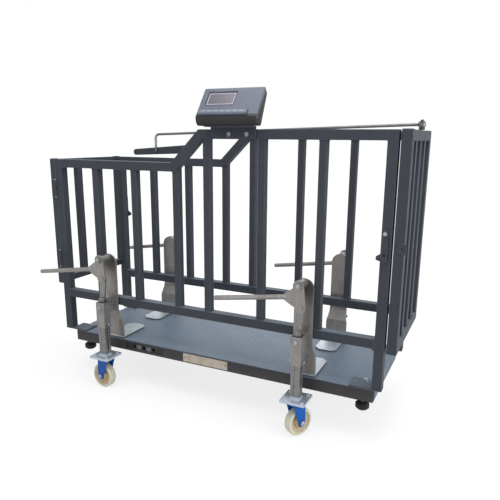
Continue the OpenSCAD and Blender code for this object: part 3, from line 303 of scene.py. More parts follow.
def moulded(name, grain, grain_detail, relief, depth, patch, dark, pale, surface):
    """A moulded or cast finish: a raised grain of one size, and two tones in soft patches of another."""
    material, tree, place = new_finish(name)
    grains = add(tree, "ShaderNodeTexNoise", {"Vector": place, "Scale": 1 / grain, "Detail": grain_detail})
    patches = add(tree, "ShaderNodeTexNoise", {"Vector": place, "Scale": 1 / patch, "Detail": 4})
    tone = add(tree, "ShaderNodeMix", {0: patches.outputs[0], 6: linear(dark), 7: linear(pale)},
               data_type="RGBA")
    skin = add(tree, "ShaderNodeBump", {"Height": grains.outputs[0], "Strength": relief, "Distance": depth})
    shader = add(tree, "ShaderNodeBsdfPrincipled", {
        "Base Color": tone.outputs[2], "Normal": skin.outputs[0], **surface})
    add(tree, "ShaderNodeOutputMaterial", {0: shader.outputs[0]})
    return material


# Moulded rubber: matt black, greyed in patches by dust, with a fine pebbled skin.
black_rubber = moulded(
    "moulded rubber", grain=0.003, grain_detail=3, relief=0.3, depth=0.0006, patch=0.02, dark="#0d0d0f",
    pale="#1e1d1e", surface={"Roughness": 0.62, "IOR": 1.52, "Specular IOR Level": 0.3})
coat(black_rubber, "rubber_feet")


# JUNCTION BOX AND NAME PLATE
# A moulded box behind the window in the front channel joins the load cells; two cast covers close its
# unused glands. Beside it a blank plate of brushed aluminium is riveted to the channel.

# Moulded ABS, dark: an even satin skin with the fine grain of a spark-eroded mould.
box_plastic = moulded(
    "dark moulded ABS", grain=0.0016, grain_detail=2, relief=0.2, depth=0.0003, patch=0.025, dark="#161617",
    pale="#262526", surface={"Roughness": 0.48, "IOR": 1.53, "Specular IOR Level": 0.35})
coat(box_plastic, "junction_box")

# Die-cast zinc: dull and dark, with a fine sandy skin.
cast_zinc = moulded(
    "die-cast zinc", grain=0.002, grain_detail=3, relief=0.2, depth=0.0003, patch=0.012, dark="#4f5052",
    pale="#7b7d80", surface={"Metallic": 0.7, "Roughness": 0.5})


def plate(width, height, corner, layers, least_corner=0.0005):
    """A plate about the origin in X and Y with round corners; each layer is an inset and a height in Z."""
    rings = []
    for inset, z in layers:
        w, h, r = width / 2 - inset, height / 2 - inset, max(corner - inset, least_corner)
        rings.append([(a * (w - r) + r * math.cos(t), b * (h - r) + r * math.sin(t), z)
                      for a, b, quarter in ((1, 1, 0), (-1, 1, 1), (-1, -1, 2), (1, -1, 3))
                      for t in [(quarter + k / 3) * math.pi / 2 for k in range(4)]])
    return as_mesh(skinned(rings))


# Pieces on seats: each seat is an edge, and a copy of the piece stands on its start and points along it.
seats_tree = new_geometry_tree("pieces on seats", Piece="NodeSocketObject", Finish="NodeSocketMaterial")
given = add(seats_tree, "NodeGroupInput")
shape = add(seats_tree, "GeometryNodeObjectInfo", {0: given.outputs["Piece"]})
ways = add(seats_tree, "GeometryNodeMeshToCurve", {0: given.outputs["Geometry"]})
along = add(seats_tree, "GeometryNodeSplineParameter")
start = add(seats_tree, "FunctionNodeCompare", {0: along.outputs["Factor"], 1: 0.5}, operation="LESS_THAN")
tangent = add(seats_tree, "GeometryNodeInputTangent")
turned = add(seats_tree, "FunctionNodeAlignRotationToVector", {"Vector": tangent.outputs[0]}, axis="Z")
seated = add(seats_tree, "GeometryNodeInstanceOnPoints", {
    0: ways.outputs[0], "Selection": start.outputs[0], "Instance": shape.outputs["Geometry"],
    "Rotation": turned.outputs[0]})
real = add(seats_tree, "GeometryNodeRealizeInstances", {0: seated.outputs[0]})
dressed = add(seats_tree, "GeometryNodeSetMaterial", {
    0: real.outputs[0], "Material": given.outputs["Finish"]})
add(seats_tree, "NodeGroupOutput", {0: dressed.outputs[0]})


def set_out(name, seats, mesh, body, material):
    """Copies of a mesh on seats; a seat is a point and the way out of it, which the mesh's Z follows."""
    ways = bpy.data.meshes.new(name)
    ways.from_pydata([p for at, out in seats for p in (at, at + out)],
                     [(2 * i, 2 * i + 1) for i in range(len(seats))], [])
    source = new_object("source", mesh)
    made = grown(ways, seats_tree, Piece=source, Finish=material)
    bpy.data.objects.remove(source)
    return new_piece(name, made, body)


# The gland covers: cast plates with rounded corners and a shallow raised panel, between the sockets.
box_low, box_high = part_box("junction_box")
box_middle_z = (box_low.z + box_high.z) / 2
gland_cover = plate(width=0.027, height=0.021, corner=0.003, layers=(
    (0.0, -0.0004), (0.0, 0.0012), (0.0006, 0.0018), (0.0040, 0.0018), (0.0046, 0.0023)))
cover_seats = [(Vector((box_low.x + (box_high.x - box_low.x) * share, box_low.y, box_middle_z)),
                Vector((0, -1, 0))) for share in (3 / 8, 5 / 8)]
set_out("gland_covers", cover_seats, gland_cover, "crate", cast_zinc)

# Brushed aluminium: fine lines along the plate's length, a warm tarnish, and darker thumb marks.
brushed_aluminium, tree, place = new_finish("brushed aluminium")
stretched = add(tree, "ShaderNodeMapping", {"Vector": place, "Scale": (0.03, 1, 1)})
lines = add(tree, "ShaderNodeTexNoise", {"Vector": stretched.outputs[0], "Scale": 1 / 0.0012, "Detail": 3})
tarnish = add(tree, "ShaderNodeTexNoise", {"Vector": place, "Scale": 1 / 0.035, "Detail": 4})
tone = add(tree, "ShaderNodeMix", {0: lines.outputs[0], 6: linear("#a69d8f"), 7: linear("#bdb5a8")},
           data_type="RGBA")
tarnish_and_shadow_share = add(tree, "ShaderNodeMapRange", {0: tarnish.outputs[0], 1: 0.48, 2: 0.75, 4: 0.55})
tarnished_and_shadowed = add(tree, "ShaderNodeMix", {0: tarnish_and_shadow_share.outputs[0], 6: tone.outputs[2], 7: linear("#877c6d")},
              data_type="RGBA")
skin = add(tree, "ShaderNodeBump", {"Height": lines.outputs[0], "Strength": 0.25, "Distance": 0.0002})
shader = add(tree, "ShaderNodeBsdfPrincipled", {
    "Base Color": tarnished_and_shadowed.outputs[2], "Metallic": 1.0, "Roughness": 0.42, "Anisotropic": 0.5,
    "Normal": skin.outputs[0]})
add(tree, "ShaderNodeOutputMaterial", {0: shader.outputs[0]})
coat(brushed_aluminium, "name_plate")


# FENCE
# Two side panels of box tube: corner posts, rails and upright bars, cut square, welded and enamelled
# slate grey. The corners are rolled, dust and a painted sky reflection pale the upper faces, edges rub pale.

# Slate enamel: sprayed on in one coat, satin, with a faint orange peel.
slate_enamel, tree, place = new_finish("slate enamel on box tube")
cloud = add(tree, "ShaderNodeTexNoise", {"Vector": place, "Scale": 1 / 0.14, "Detail": 5, "Roughness": 0.6})
stretched = add(tree, "ShaderNodeMapping", {"Vector": place, "Scale": (1, 1, 0.12)})
streaks = add(tree, "ShaderNodeTexNoise", {"Vector": stretched.outputs[0], "Scale": 1 / 0.022, "Detail": 4})
flat = add(tree, "ShaderNodeNewGeometry")
upward = add(tree, "ShaderNodeSeparateXYZ", {0: flat.outputs["Normal"]}).outputs["Z"]
base = add(tree, "ShaderNodeMix", {0: cloud.outputs[0], 6: linear("#383a40"), 7: linear("#44484f")},
           data_type="RGBA")
run_share = add(tree, "ShaderNodeMapRange", {0: streaks.outputs[0], 1: 0.52, 2: 0.80, 4: 0.35})
streaked = add(tree, "ShaderNodeMix", {0: run_share.outputs[0], 6: base.outputs[2], 7: linear("#4b4e53")},
               data_type="RGBA")
# Dust and a painted reflection of the sky pale the faces that look upward.
facing_up_reflection = add(tree, "ShaderNodeMapRange", {0: upward, 1: 0.5, 2: 0.95, 3: 0.0, 4: 0.8})
dust_and_reflection_share = add(tree, "ShaderNodeMath", {0: facing_up_reflection.outputs[0], 1: cloud.outputs[0]}, operation="MULTIPLY")
dusted = add(tree, "ShaderNodeMix", {0: dust_and_reflection_share.outputs[0], 6: streaked.outputs[2], 7: linear("#7f8c99")},
             data_type="RGBA")
rounded_edge, rub = rubbed_edges(tree, radius=0.004, strongest=0.55, samples=8)
worn = add(tree, "ShaderNodeMix", {0: rub, 6: dusted.outputs[2], 7: linear("#6f7b87")}, data_type="RGBA")
peel = add(tree, "ShaderNodeTexNoise", {"Vector": place, "Scale": 1 / 0.006, "Detail": 1})
skin = add(tree, "ShaderNodeBump", {
    "Height": peel.outputs[0], "Strength": 0.08, "Distance": 0.0005, "Normal": rounded_edge})
sheen = add(tree, "ShaderNodeMapRange", {0: cloud.outputs[0], 1: 0.3, 2: 0.7, 3: 0.54, 4: 0.68})
shader = add(tree, "ShaderNodeBsdfPrincipled", {
    "Base Color": worn.outputs[2], "Roughness": sheen.outputs[0], "Normal": skin.outputs[0], "IOR": 1.5,
    "Specular IOR Level": 0.15})
add(tree, "ShaderNodeOutputMaterial", {0: shader.outputs[0]})
coat(slate_enamel, "corner_posts", "panel_rails", "panel_bars", "post_feet", "gate_frame", "gate_bars",
     "gate_straps", "gate_keeper", "door_frame", "door_bars", "door_straps", "door_keeper", "hinge_leaves",
     "lever_bracket", "indicator_bracket", "door_latch_arm", "gate_latch_arm")

# Weld beads: overlapping scales, 5 mm wide, laid along the corners where tubes meet, and painted over.
weld_tree = new_geometry_tree("weld bead", Width="NodeSocketFloat", Step="NodeSocketFloat",
                              Finish="NodeSocketMaterial")
given = add(weld_tree, "NodeGroupInput")
path = add(weld_tree, "GeometryNodeMeshToCurve", {0: given.outputs["Geometry"]})
steps = add(weld_tree, "GeometryNodeResampleCurve", {0: path.outputs[0], "Length": given.outputs["Step"]},
            mode="LENGTH")
half = add(weld_tree, "ShaderNodeMath", {0: given.outputs["Width"], 1: 0.5}, operation="MULTIPLY")
scale = add(weld_tree, "GeometryNodeMeshUVSphere", {0: 7, 1: 5, 2: half.outputs[0]})
tangent = add(weld_tree, "GeometryNodeInputTangent")
turned = add(weld_tree, "FunctionNodeAlignRotationToVector", {"Vector": tangent.outputs[0]}, axis="X")
laid = add(weld_tree, "GeometryNodeInstanceOnPoints", {
    0: steps.outputs[0], "Instance": scale.outputs[0], "Rotation": turned.outputs[0], "Scale": (0.75, 1, 1)})
real = add(weld_tree, "GeometryNodeRealizeInstances", {0: laid.outputs[0]})
smooth = add(weld_tree, "GeometryNodeSetShadeSmooth", {0: real.outputs[0]})
dressed = add(weld_tree, "GeometryNodeSetMaterial", {
    0: smooth.outputs[0], "Material": given.outputs["Finish"]})
add(weld_tree, "NodeGroupOutput", {0: dressed.outputs[0]})


def bead(name, paths, body, material, width=0.005, step_share=0.7):
    """A weld bead along open or closed paths of points; its scales step on by a share of its width."""
    points, edges = [], []
    for path in paths:
        first = len(points)
        points += path
        edges += [(first + i, first + i + 1) for i in range(len(path) - 1)]
    mesh = bpy.data.meshes.new(name)
    mesh.from_pydata(points, edges, [])
    laid = grown(mesh, weld_tree, Width=width, Step=width * step_share, Finish=material)
    return new_piece(name, laid, body)


post_low, post_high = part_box("corner_posts")
bars_low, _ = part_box("panel_bars")
post_side, bar_side = 0.038, 0.030
bar_lefts = (-0.594, -0.374, -0.154, -0.002, 0.246, 0.494)
lower_rail_under, lower_rail_top = 0.171, bars_low.z
low_rail_under, high_rail_under, slope_start = 0.807, 0.944, -0.14226


def upper_rail_under(x):
    """The underside of the upper rail: level, then up the 45 degree slope, then level again."""
    return min(high_rail_under, low_rail_under + max(0.0, x - slope_start))


paths = []
for side in (-1, 1):
    outer = side * abs(bars_low.y)
    inner = outer - side * bar_side
    for left in bar_lefts:
        right = left + bar_side
        corners = [(left, outer), (right, outer), (right, inner), (left, inner), (left, outer)]
        paths.append([(x, y, lower_rail_top) for x, y in corners])
        paths.append([(x, y, upper_rail_under(x)) for x, y in corners])
    face = side * abs(post_low.y)
    back = face - side * post_side
    for x, upper in ((post_low.x + post_side, low_rail_under), (post_high.x - post_side, high_rail_under)):
        paths += [[(x, face, z), (x, back, z)] for z in (upper, lower_rail_under, lower_rail_top)]
bead("fence_welds", paths, "crate", slate_enamel)


# GATE AND DOOR
# Each is a welded frame of box tube with upright bars, hung on butt hinges; pressed caps close the open
# ends of the stiles. The drop latches are painted with the frames; their bolts and the hinge pins are plated.

cap_play = 0.001
cap_layers = ((0.0, 0.0), (0.0, 0.0012), (0.0025, 0.0026), (0.009, 0.0032))
for name, body, side, bar_count in (("gate", "entry_gate", bar_side, 2), ("door", "exit_door", post_side, 3)):
    low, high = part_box(name + "_frame")
    middle_x = (low.x + high.x) / 2
    caps = [(Vector((middle_x, y, z)), Vector((0, 0, way)))
            for y in (low.y + side / 2, high.y - side / 2) for z, way in ((high.z, 1), (low.z, -1))]
    cap = plate(width=side - cap_play, height=side - cap_play, corner=0.002, layers=cap_layers)
    set_out(name + "_caps", caps, cap, body, slate_enamel)
    # The gate's bars are as deep as its frame and are welded at their sides; the door's are welded all round.
    bar_pitch = (high.y - low.y - 2 * side - bar_count * bar_side) / (bar_count + 1) + bar_side
    x0, x1 = middle_x - bar_side / 2, middle_x + bar_side / 2
    paths = []
    for z in (low.z + side, high.z - side):
        for i in range(bar_count):
            y1 = low.y + side + (i + 1) * bar_pitch
            y0 = y1 - bar_side
            if side > bar_side:
                paths.append([(x0, y0, z), (x1, y0, z), (x1, y1, z), (x0, y1, z), (x0, y0, z)])
            else:
                paths += [[(low.x, y, z), (high.x, y, z)] for y in (y0, y1)]
        paths += [[(low.x, y, z), (high.x, y, z)] for y in (low.y + side, high.y - side)]
    bead(name + "_welds", paths, body, slate_enamel)

# The latch beaks: each drop latch widens to a thumb beak beside its eye, which lifts it. The points are
# measured from the tip along the arm's width, and up from its foot.
beak = [(-0.001, 0.0105), (-0.001, 0.0235), (0.0175, 0.0360), (0.0195, 0.0345), (0.0195, 0.0040)]
beak_proud = 0.0004
for body, way in (("door_latch", 1), ("gate_latch", -1)):
    low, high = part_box(body + "_arm")
    tip = low.x if way > 0 else high.x
    beak_plate = skinned([[(tip + way * a, y, low.z + b) for a, b in beak]
                          for y in (low.y - beak_proud, high.y + beak_proud)])
    new_piece(body + "_beak", as_mesh(beak_plate, slate_enamel), body)


# DOOR LEVER AND ROD
# A flat forged lever on the back rail pulls the exit door through a long bent rod. The lever is painted
# with the fence; the rod is drawn steel bar, left bare and dull, as are the old bolts.

coat(slate_enamel, "door_lever")

# Drawn steel: bare bar with faint lines along it and a grey-brown bloom of surface rust.
drawn_steel, tree, place = new_finish("drawn steel bar")
stretched = add(tree, "ShaderNodeMapping", {"Vector": place, "Scale": (0.04, 1, 1)})
lines = add(tree, "ShaderNodeTexNoise", {"Vector": stretched.outputs[0], "Scale": 1 / 0.002, "Detail": 3})
bloom = add(tree, "ShaderNodeTexNoise", {"Vector": place, "Scale": 1 / 0.04, "Detail": 5})
tone = add(tree, "ShaderNodeMix", {0: lines.outputs[0], 6: linear("#5c5f62"), 7: linear("#75787a")},
           data_type="RGBA")
rust_share = add(tree, "ShaderNodeMapRange", {0: bloom.outputs[0], 1: 0.50, 2: 0.78, 4: 0.55})
rusted = add(tree, "ShaderNodeMix", {0: rust_share.outputs[0], 6: tone.outputs[2], 7: linear("#655b53")},
             data_type="RGBA")
sheen = add(tree, "ShaderNodeMapRange", {0: bloom.outputs[0], 1: 0.3, 2: 0.75, 3: 0.32, 4: 0.55})
shader = add(tree, "ShaderNodeBsdfPrincipled", {
    "Base Color": rusted.outputs[2], "Metallic": 1.0, "Roughness": sheen.outputs[0]})
add(tree, "ShaderNodeOutputMaterial", {0: shader.outputs[0]})
coat(drawn_steel, "door_rod", "bracket_bolts", "plate_rivets")

# Blackened steel: the two pivot bolts are dark with oil, and their corners shine through.
blackened_steel, tree, place = new_finish("blackened bolt steel")
oil = add(tree, "ShaderNodeTexNoise", {"Vector": place, "Scale": 1 / 0.008, "Detail": 4})
tone = add(tree, "ShaderNodeMix", {0: oil.outputs[0], 6: linear("#383431"), 7: linear("#57524d")},
           data_type="RGBA")
rounded_edge, rub = rubbed_edges(tree, radius=0.0012, strongest=0.8)
worn = add(tree, "ShaderNodeMix", {0: rub, 6: tone.outputs[2], 7: linear("#b4b4b2")}, data_type="RGBA")
shader = add(tree, "ShaderNodeBsdfPrincipled", {
    "Base Color": worn.outputs[2], "Metallic": 0.8, "Roughness": 0.4, "Normal": rounded_edge})
add(tree, "ShaderNodeOutputMaterial", {0: shader.outputs[0]})
coat(blackened_steel, "rod_end_bolt", "lever_bolt")

# The rod's upturned end carries a plated thread, from above the lever and round the bend. It is drawn four
# times as coarse as it is, so that it shows.
rod_radius, rod_rise, bend_radius, collar_radius, rod_gap = 0.006, 0.086, 0.020, 0.010, 0.0016
thread_start, thread_pitch, thread_width = 0.024, 0.007, 0.0138
rod_low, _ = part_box("door_rod")
lever_low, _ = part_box("door_lever")
rod_foot = Vector((rod_low.x + collar_radius, lever_low.y - rod_gap - rod_radius, rod_low.z + collar_radius))
bend_start = rod_rise - bend_radius
straight = bend_start - thread_start
ridges = []
for i in range(int((straight + bend_radius * math.pi / 2) / thread_pitch)):
    turn = max(0.0, (i * thread_pitch - straight) / bend_radius)
    climb = min(thread_start + i * thread_pitch, bend_start)
    at = rod_foot + Vector((bend_radius * (1 - math.cos(turn)), 0, climb + bend_radius * math.sin(turn)))
    ridges.append((at, Vector((math.sin(turn), 0, math.cos(turn)))))
ridge = plate(width=thread_width, height=thread_width, corner=thread_width / 2, layers=(
    (0.0012, -0.0026), (0.0, -0.0008), (0.0, 0.0008), (0.0012, 0.0026)))
set_out("rod_thread", ridges, ridge, "opening_rod", bright_zinc)


# INDICATOR
# A weighing indicator in a moulded case: a dark back shell, a grey front cover that leans back, a smoked
# display window in a recess, and a rounded ledge along its foot that carries the membrane keys.

# Moulded ABS, grey: fine sparked grain, slightly glossy from handling, chalky where the sun has been.
grey_abs = moulded(
    "grey moulded ABS", grain=0.0016, grain_detail=2, relief=0.15, depth=0.0003, patch=0.07, dark="#525966",
    pale="#626976", surface={"Roughness": 0.42, "IOR": 1.53, "Specular IOR Level": 0.35})

# The case's side view, as shares of its depth and height, from the front of its foot round to the back.
case_low, case_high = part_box("indicator_base")
case_left, case_right, case_foot = case_low.x, case_high.x, case_low.z
case_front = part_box("indicator_cover")[0].y
case_depth, case_height, case_end_round = 0.107, 0.146, 0.006
case_shares = [(0.15, 0), (0.04, 0.08), (0, 0.23), (0.075, 0.30),
               (0.75, 0.973), (0.84, 1), (1, 0.824), (0.48, 0)]
case_rounds = [0.007, 0.009, 0.009, 0.007, 0.008, 0.007, 0.009, 0.007]
corners = [Vector((case_front + a * case_depth, case_foot + b * case_height)) for a, b in case_shares]


def filleted(points, radii, steps):
    """A closed outline with each corner rounded to its radius, as far as its sides allow."""
    outline = []
    for i, p in enumerate(points):
        before, after = points[i - 1] - p, points[(i + 1) % len(points)] - p
        half_turn = before.angle(after) / 2
        reach = min(radii[i] / math.tan(half_turn), 0.49 * before.length, 0.49 * after.length)
        radius = reach * math.tan(half_turn)
        centre = p + (before.normalized() + after.normalized()).normalized() * (radius / math.sin(half_turn))
        a, b = p + before.normalized() * reach - centre, p + after.normalized() * reach - centre
        for k in range(steps + 1):
            t = k / steps
            outline.append(centre + (a * (1 - t) + b * t).normalized() * radius)
    return outline


def lofted(outline, left, right, round_end, steps):
    """A closed shape from an outline in Y and Z drawn along X, its two ends rounded off."""
    count = len(outline)
    middle = sum(outline, Vector((0, 0))) / count
    inward = []
    for i in range(count):
        t = (outline[(i + 1) % count] - outline[i - 1]).normalized()
        n = Vector((-t.y, t.x))
        inward.append(n if n.dot(middle - outline[i]) > 0 else -n)
    quarter = [k / steps * math.pi / 2 for k in range(steps, -1, -1)]
    sections = [(left + round_end * (1 - math.sin(a)), round_end * (1 - math.cos(a))) for a in quarter]
    sections += [(left + right - x, inset) for x, inset in reversed(sections)]
    return skinned([[(x, *(p + n * inset)) for p, n in zip(outline, inward)] for x, inset in sections])


def smoothed(shape, crease, *materials):
    """The mesh of a shape, smooth but for edges that turn by more than the crease, in degrees."""
    for face in shape.faces:
        face.smooth = True
    mesh = as_mesh(shape, *materials)
    mesh.set_sharp_from_angle(angle=math.radians(crease))
    return mesh


# The parting plane lies 12 mm behind the sloping face, and a hairline groove is left along it.
parting, groove, case_crease = 0.012, 0.0006, 35
slope = (corners[4] - corners[3]).normalized()
face_length = (corners[4] - corners[3]).length
face_origin = Vector((0, *corners[3]))
face_up = Vector((0, slope.x, slope.y))
face_out = Vector((0, -slope.y, slope.x))
case_outline = filleted(corners, case_rounds, steps=6)


def case_half(front, material):
    """The case's front or back half, cut off at its side of the groove and closed."""
    shape = lofted(case_outline, case_left, case_right, case_end_round, steps=5)
    cut_depth = parting - groove / 2 if front else parting + groove / 2
    bmesh.ops.bisect_plane(shape, geom=shape.verts[:] + shape.edges[:] + shape.faces[:],
                           plane_co=face_origin - face_out * cut_depth, plane_no=face_out,
                           clear_inner=front, clear_outer=not front)
    bmesh.ops.holes_fill(shape, edges=[e for e in shape.edges if e.is_boundary], sides=0)
    bmesh.ops.recalc_face_normals(shape, faces=shape.faces)
    return smoothed(shape, case_crease, material)


back_shell = new_piece("indicator_shell", case_half(False, box_plastic), "crate")
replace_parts(back_shell, "indicator_base")

# Behind, a lid covers the battery, and four pan-head screws draw the two halves together.
screw_across, screw_up = 0.112, 0.042
back_foot, back_top = corners[7], corners[6]
back_up = (back_top - back_foot).normalized()
back_out = Vector((0, back_up.y, -back_up.x))
back_middle = Vector(((case_left + case_right) / 2, *back_foot.lerp(back_top, 0.5)))
lid = plate(width=0.098, height=0.054, corner=0.004, layers=(
    (0.0, -0.0006), (0.0, 0.0008), (0.0006, 0.0014), (0.0060, 0.0014), (0.0066, 0.0010)))
set_out("battery_lid", [(back_middle, back_out)], lid, "crate", box_plastic)
screw = plate(width=0.0076, height=0.0076, corner=0.0038, layers=(
    (0.0, -0.0005), (0.0, 0.0010), (0.0009, 0.0019), (0.0020, 0.0021)))
screw_seats = [(back_middle + Vector((a * screw_across, *(back_up * b * screw_up))), back_out)
               for a in (-1, 1) for b in (-1, 1)]
set_out("case_screws", screw_seats, screw, "crate", bright_zinc)

# The cover: its window recess is 5 mm deep with leaning sides.
window_left, window_width, window_height = case_left + 0.027, 0.124, 0.063
window_middle_share = 0.61
window_low = window_middle_share * face_length - window_height / 2
recess_depth, recess_lean, recess_overrun = 0.005, 0.0025, 0.0005


def window_ring(inset, out):
    """The window's four corners, drawn in by an inset and standing out of the sloping face."""
    left, right = window_left + inset, window_left + window_width - inset
    low, high = window_low + inset, window_low + window_height - inset
    return [Vector((x, 0, 0)) + face_origin + face_up * up + face_out * out
            for x, up in ((left, low), (right, low), (right, high), (left, high))]


recess = skinned([window_ring(0.0, -recess_depth), window_ring(-recess_lean, recess_overrun)])
cutter = new_object("recess", as_mesh(recess))
cover_blank = new_object("cover", case_half(True, grey_abs))
cut = cover_blank.modifiers.new("recess", "BOOLEAN")
cut.object, cut.operation, cut.solver = cutter, "DIFFERENCE", "EXACT"
cover = evaluated(cover_blank)
bpy.data.objects.remove(cutter)
cover.set_sharp_from_angle(angle=math.radians(case_crease))
# Below the sloping face the cover is dark, like the shell.
cover.materials.append(box_plastic)
dark_below = -0.002
for polygon in cover.polygons:
    if (polygon.center - face_origin).dot(face_up) < dark_below:
        polygon.material_index = 1
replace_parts(new_piece("indicator_front", cover, "crate"), "indicator_cover")

# Smoked acrylic: a dark, reddish, glossy pane, faintly clouded.
smoked_acrylic, tree, place = new_finish("smoked acrylic")
haze = add(tree, "ShaderNodeTexNoise", {"Vector": place, "Scale": 1 / 0.03, "Detail": 3})
tone = add(tree, "ShaderNodeMix", {0: haze.outputs[0], 6: linear("#4f4b55"), 7: linear("#615c67")},
           data_type="RGBA")
shader = add(tree, "ShaderNodeBsdfPrincipled", {
    "Base Color": tone.outputs[2], "Roughness": 0.22, "IOR": 1.49, "Coat Weight": 0.15,
    "Coat Roughness": 0.08})
add(tree, "ShaderNodeOutputMaterial", {0: shader.outputs[0]})
pane_inset, pane_back, pane_front = 0.007, -0.0048, -0.0030
pane = skinned([window_ring(pane_inset, out) for out in (pane_back, pane_front)])
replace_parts(new_piece("display_pane", as_mesh(pane, smoked_acrylic), "crate"), "display_window")

# The pane's frame: a pale border, 3.5 mm wide, that stands a little in front of the pane.
pale_print, tree, place = new_finish("pale screen print")
fade = add(tree, "ShaderNodeTexNoise", {"Vector": place, "Scale": 1 / 0.01, "Detail": 3})
tone = add(tree, "ShaderNodeMix", {0: fade.outputs[0], 6: linear("#9c98a6"), 7: linear("#b5b1bd")},
           data_type="RGBA")
shader = add(tree, "ShaderNodeBsdfPrincipled", {"Base Color": tone.outputs[2], "Roughness": 0.35})
add(tree, "ShaderNodeOutputMaterial", {0: shader.outputs[0]})
border_outer, border_inner, border_back, border_front = 0.004, 0.0075, -0.0049, -0.0024
border = skinned([window_ring(inset, out) for inset, out in (
    (border_outer, border_back), (border_outer, border_front),
    (border_inner, border_front), (border_inner, border_back))], closed=True)
new_piece("display_border", as_mesh(border, pale_print), "crate")

# The key ledge: a half-round rib across the foot of the face, with one row of blank membrane keys on it.
ledge_left, ledge_width, ledge_end_round, ledge_crease = case_left + 0.010, 0.212, 0.0009, 40
ledge_low, ledge_high, ledge_out, ledge_sunk = -0.007, 0.023, 0.0105, -0.003
ledge_points = ((ledge_low, ledge_sunk), (ledge_low, ledge_out * 0.75), (ledge_low + 0.005, ledge_out),
                (ledge_high - 0.004, ledge_out * 0.40), (ledge_high, 0.0002), (ledge_high, ledge_sunk))
ledge_rounds = [0.001, 0.003, 0.004, 0.004, 0.002, 0.001]
section = [face_origin.yz + slope * up + face_out.yz * out for up, out in ledge_points]
ledge_outline = filleted(section, ledge_rounds, steps=5)
ledge = lofted(ledge_outline, ledge_left, ledge_left + ledge_width, ledge_end_round, steps=3)
ledge_piece = new_piece("key_ledge", smoothed(ledge, ledge_crease, grey_abs), "crate")
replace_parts(ledge_piece, "keypad")

# Printed polyester: the membrane over the keys, a shade paler than the case, fine-grained and semi-matt.
key_film, tree, place = new_finish("printed polyester film")
grain = add(tree, "ShaderNodeTexNoise", {"Vector": place, "Scale": 1 / 0.0012, "Detail": 2})
touch = add(tree, "ShaderNodeTexNoise", {"Vector": place, "Scale": 1 / 0.018, "Detail": 4})
tone = add(tree, "ShaderNodeMix", {0: touch.outputs[0], 6: linear("#6b7882"), 7: linear("#80919b")},
           data_type="RGBA")
skin = add(tree, "ShaderNodeBump", {"Height": grain.outputs[0], "Strength": 0.1, "Distance": 0.0002})
sheen = add(tree, "ShaderNodeMapRange", {0: touch.outputs[0], 1: 0.3, 2: 0.7, 3: 0.28, 4: 0.45})
shader = add(tree, "ShaderNodeBsdfPrincipled", {
    "Base Color": tone.outputs[2], "Roughness": sheen.outputs[0], "Normal": skin.outputs[0], "IOR": 1.58})
add(tree, "ShaderNodeOutputMaterial", {0: shader.outputs[0]})

# The blank keys: seven low pads of the membrane, embossed in a row along the ledge's upper slope.
key_pitch, key_count, key_row_share = 0.0275, 7, 0.54
slope_foot, slope_top = section[2], section[3]
lean = (slope_top - slope_foot).normalized()
row_middle = slope_foot.lerp(slope_top, key_row_share)
row_start = ledge_left + ledge_width / 2 - key_pitch * (key_count - 1) / 2
key_seats = [(Vector((row_start + key_pitch * i, *row_middle)), Vector((0, -lean.y, lean.x)))
             for i in range(key_count)]
key = plate(width=0.0215, height=0.0095, corner=0.0022, layers=(
    (0.0, -0.0010), (0.0, 0.0001), (0.0007, 0.0006), (0.0018, 0.0007)))
set_out("key_row", key_seats, key, "crate", key_film)


# JACKS
# Four hand-lever jacks of bent steel plate, bolted to the deck by their feet. A lever with a round bar
# pushes a slotted square leg down through its guide sleeve, and the leg ends in a caster.

jack_left, jack_right, jack_out, pivot_height, boss_face = -0.507, 0.460, 0.312, 0.402, 0.2565
jacks = (("fl", jack_left, -1), ("fr", jack_right, -1), ("bl", jack_left, 1), ("br", jack_right, 1))

# Rolled plate: dull plated steel, warm grey, with soft mill streaks along it and smudges of old grease.
# On the feet, which are scrubbed with the deck, the zinc is bare and pale.
rolled_plate, tree, place = new_finish("rolled steel plate")
stretched = add(tree, "ShaderNodeMapping", {"Vector": place, "Scale": (1, 1, 0.10)})
mill = add(tree, "ShaderNodeTexNoise", {"Vector": stretched.outputs[0], "Scale": 1 / 0.006, "Detail": 4})
smudge = add(tree, "ShaderNodeTexNoise", {"Vector": place, "Scale": 1 / 0.05, "Detail": 5, "Roughness": 0.6})
tone = add(tree, "ShaderNodeMix", {0: mill.outputs[0], 6: linear("#7d7a77"), 7: linear("#979491")},
           data_type="RGBA")
smudge_share = add(tree, "ShaderNodeMapRange", {0: smudge.outputs[0], 1: 0.48, 2: 0.78, 4: 0.6})
smudged = add(tree, "ShaderNodeMix", {0: smudge_share.outputs[0], 6: tone.outputs[2], 7: linear("#656360")},
              data_type="RGBA")
height = add(tree, "ShaderNodeSeparateXYZ", {0: place}).outputs["Z"]
foot_share = add(tree, "ShaderNodeMapRange", {0: height, 1: 0.0130, 2: 0.0088, 3: 0.0, 4: 0.95})
bared = add(tree, "ShaderNodeMix", {0: foot_share.outputs[0], 6: smudged.outputs[2], 7: linear("#bcc4cc")},
            data_type="RGBA")
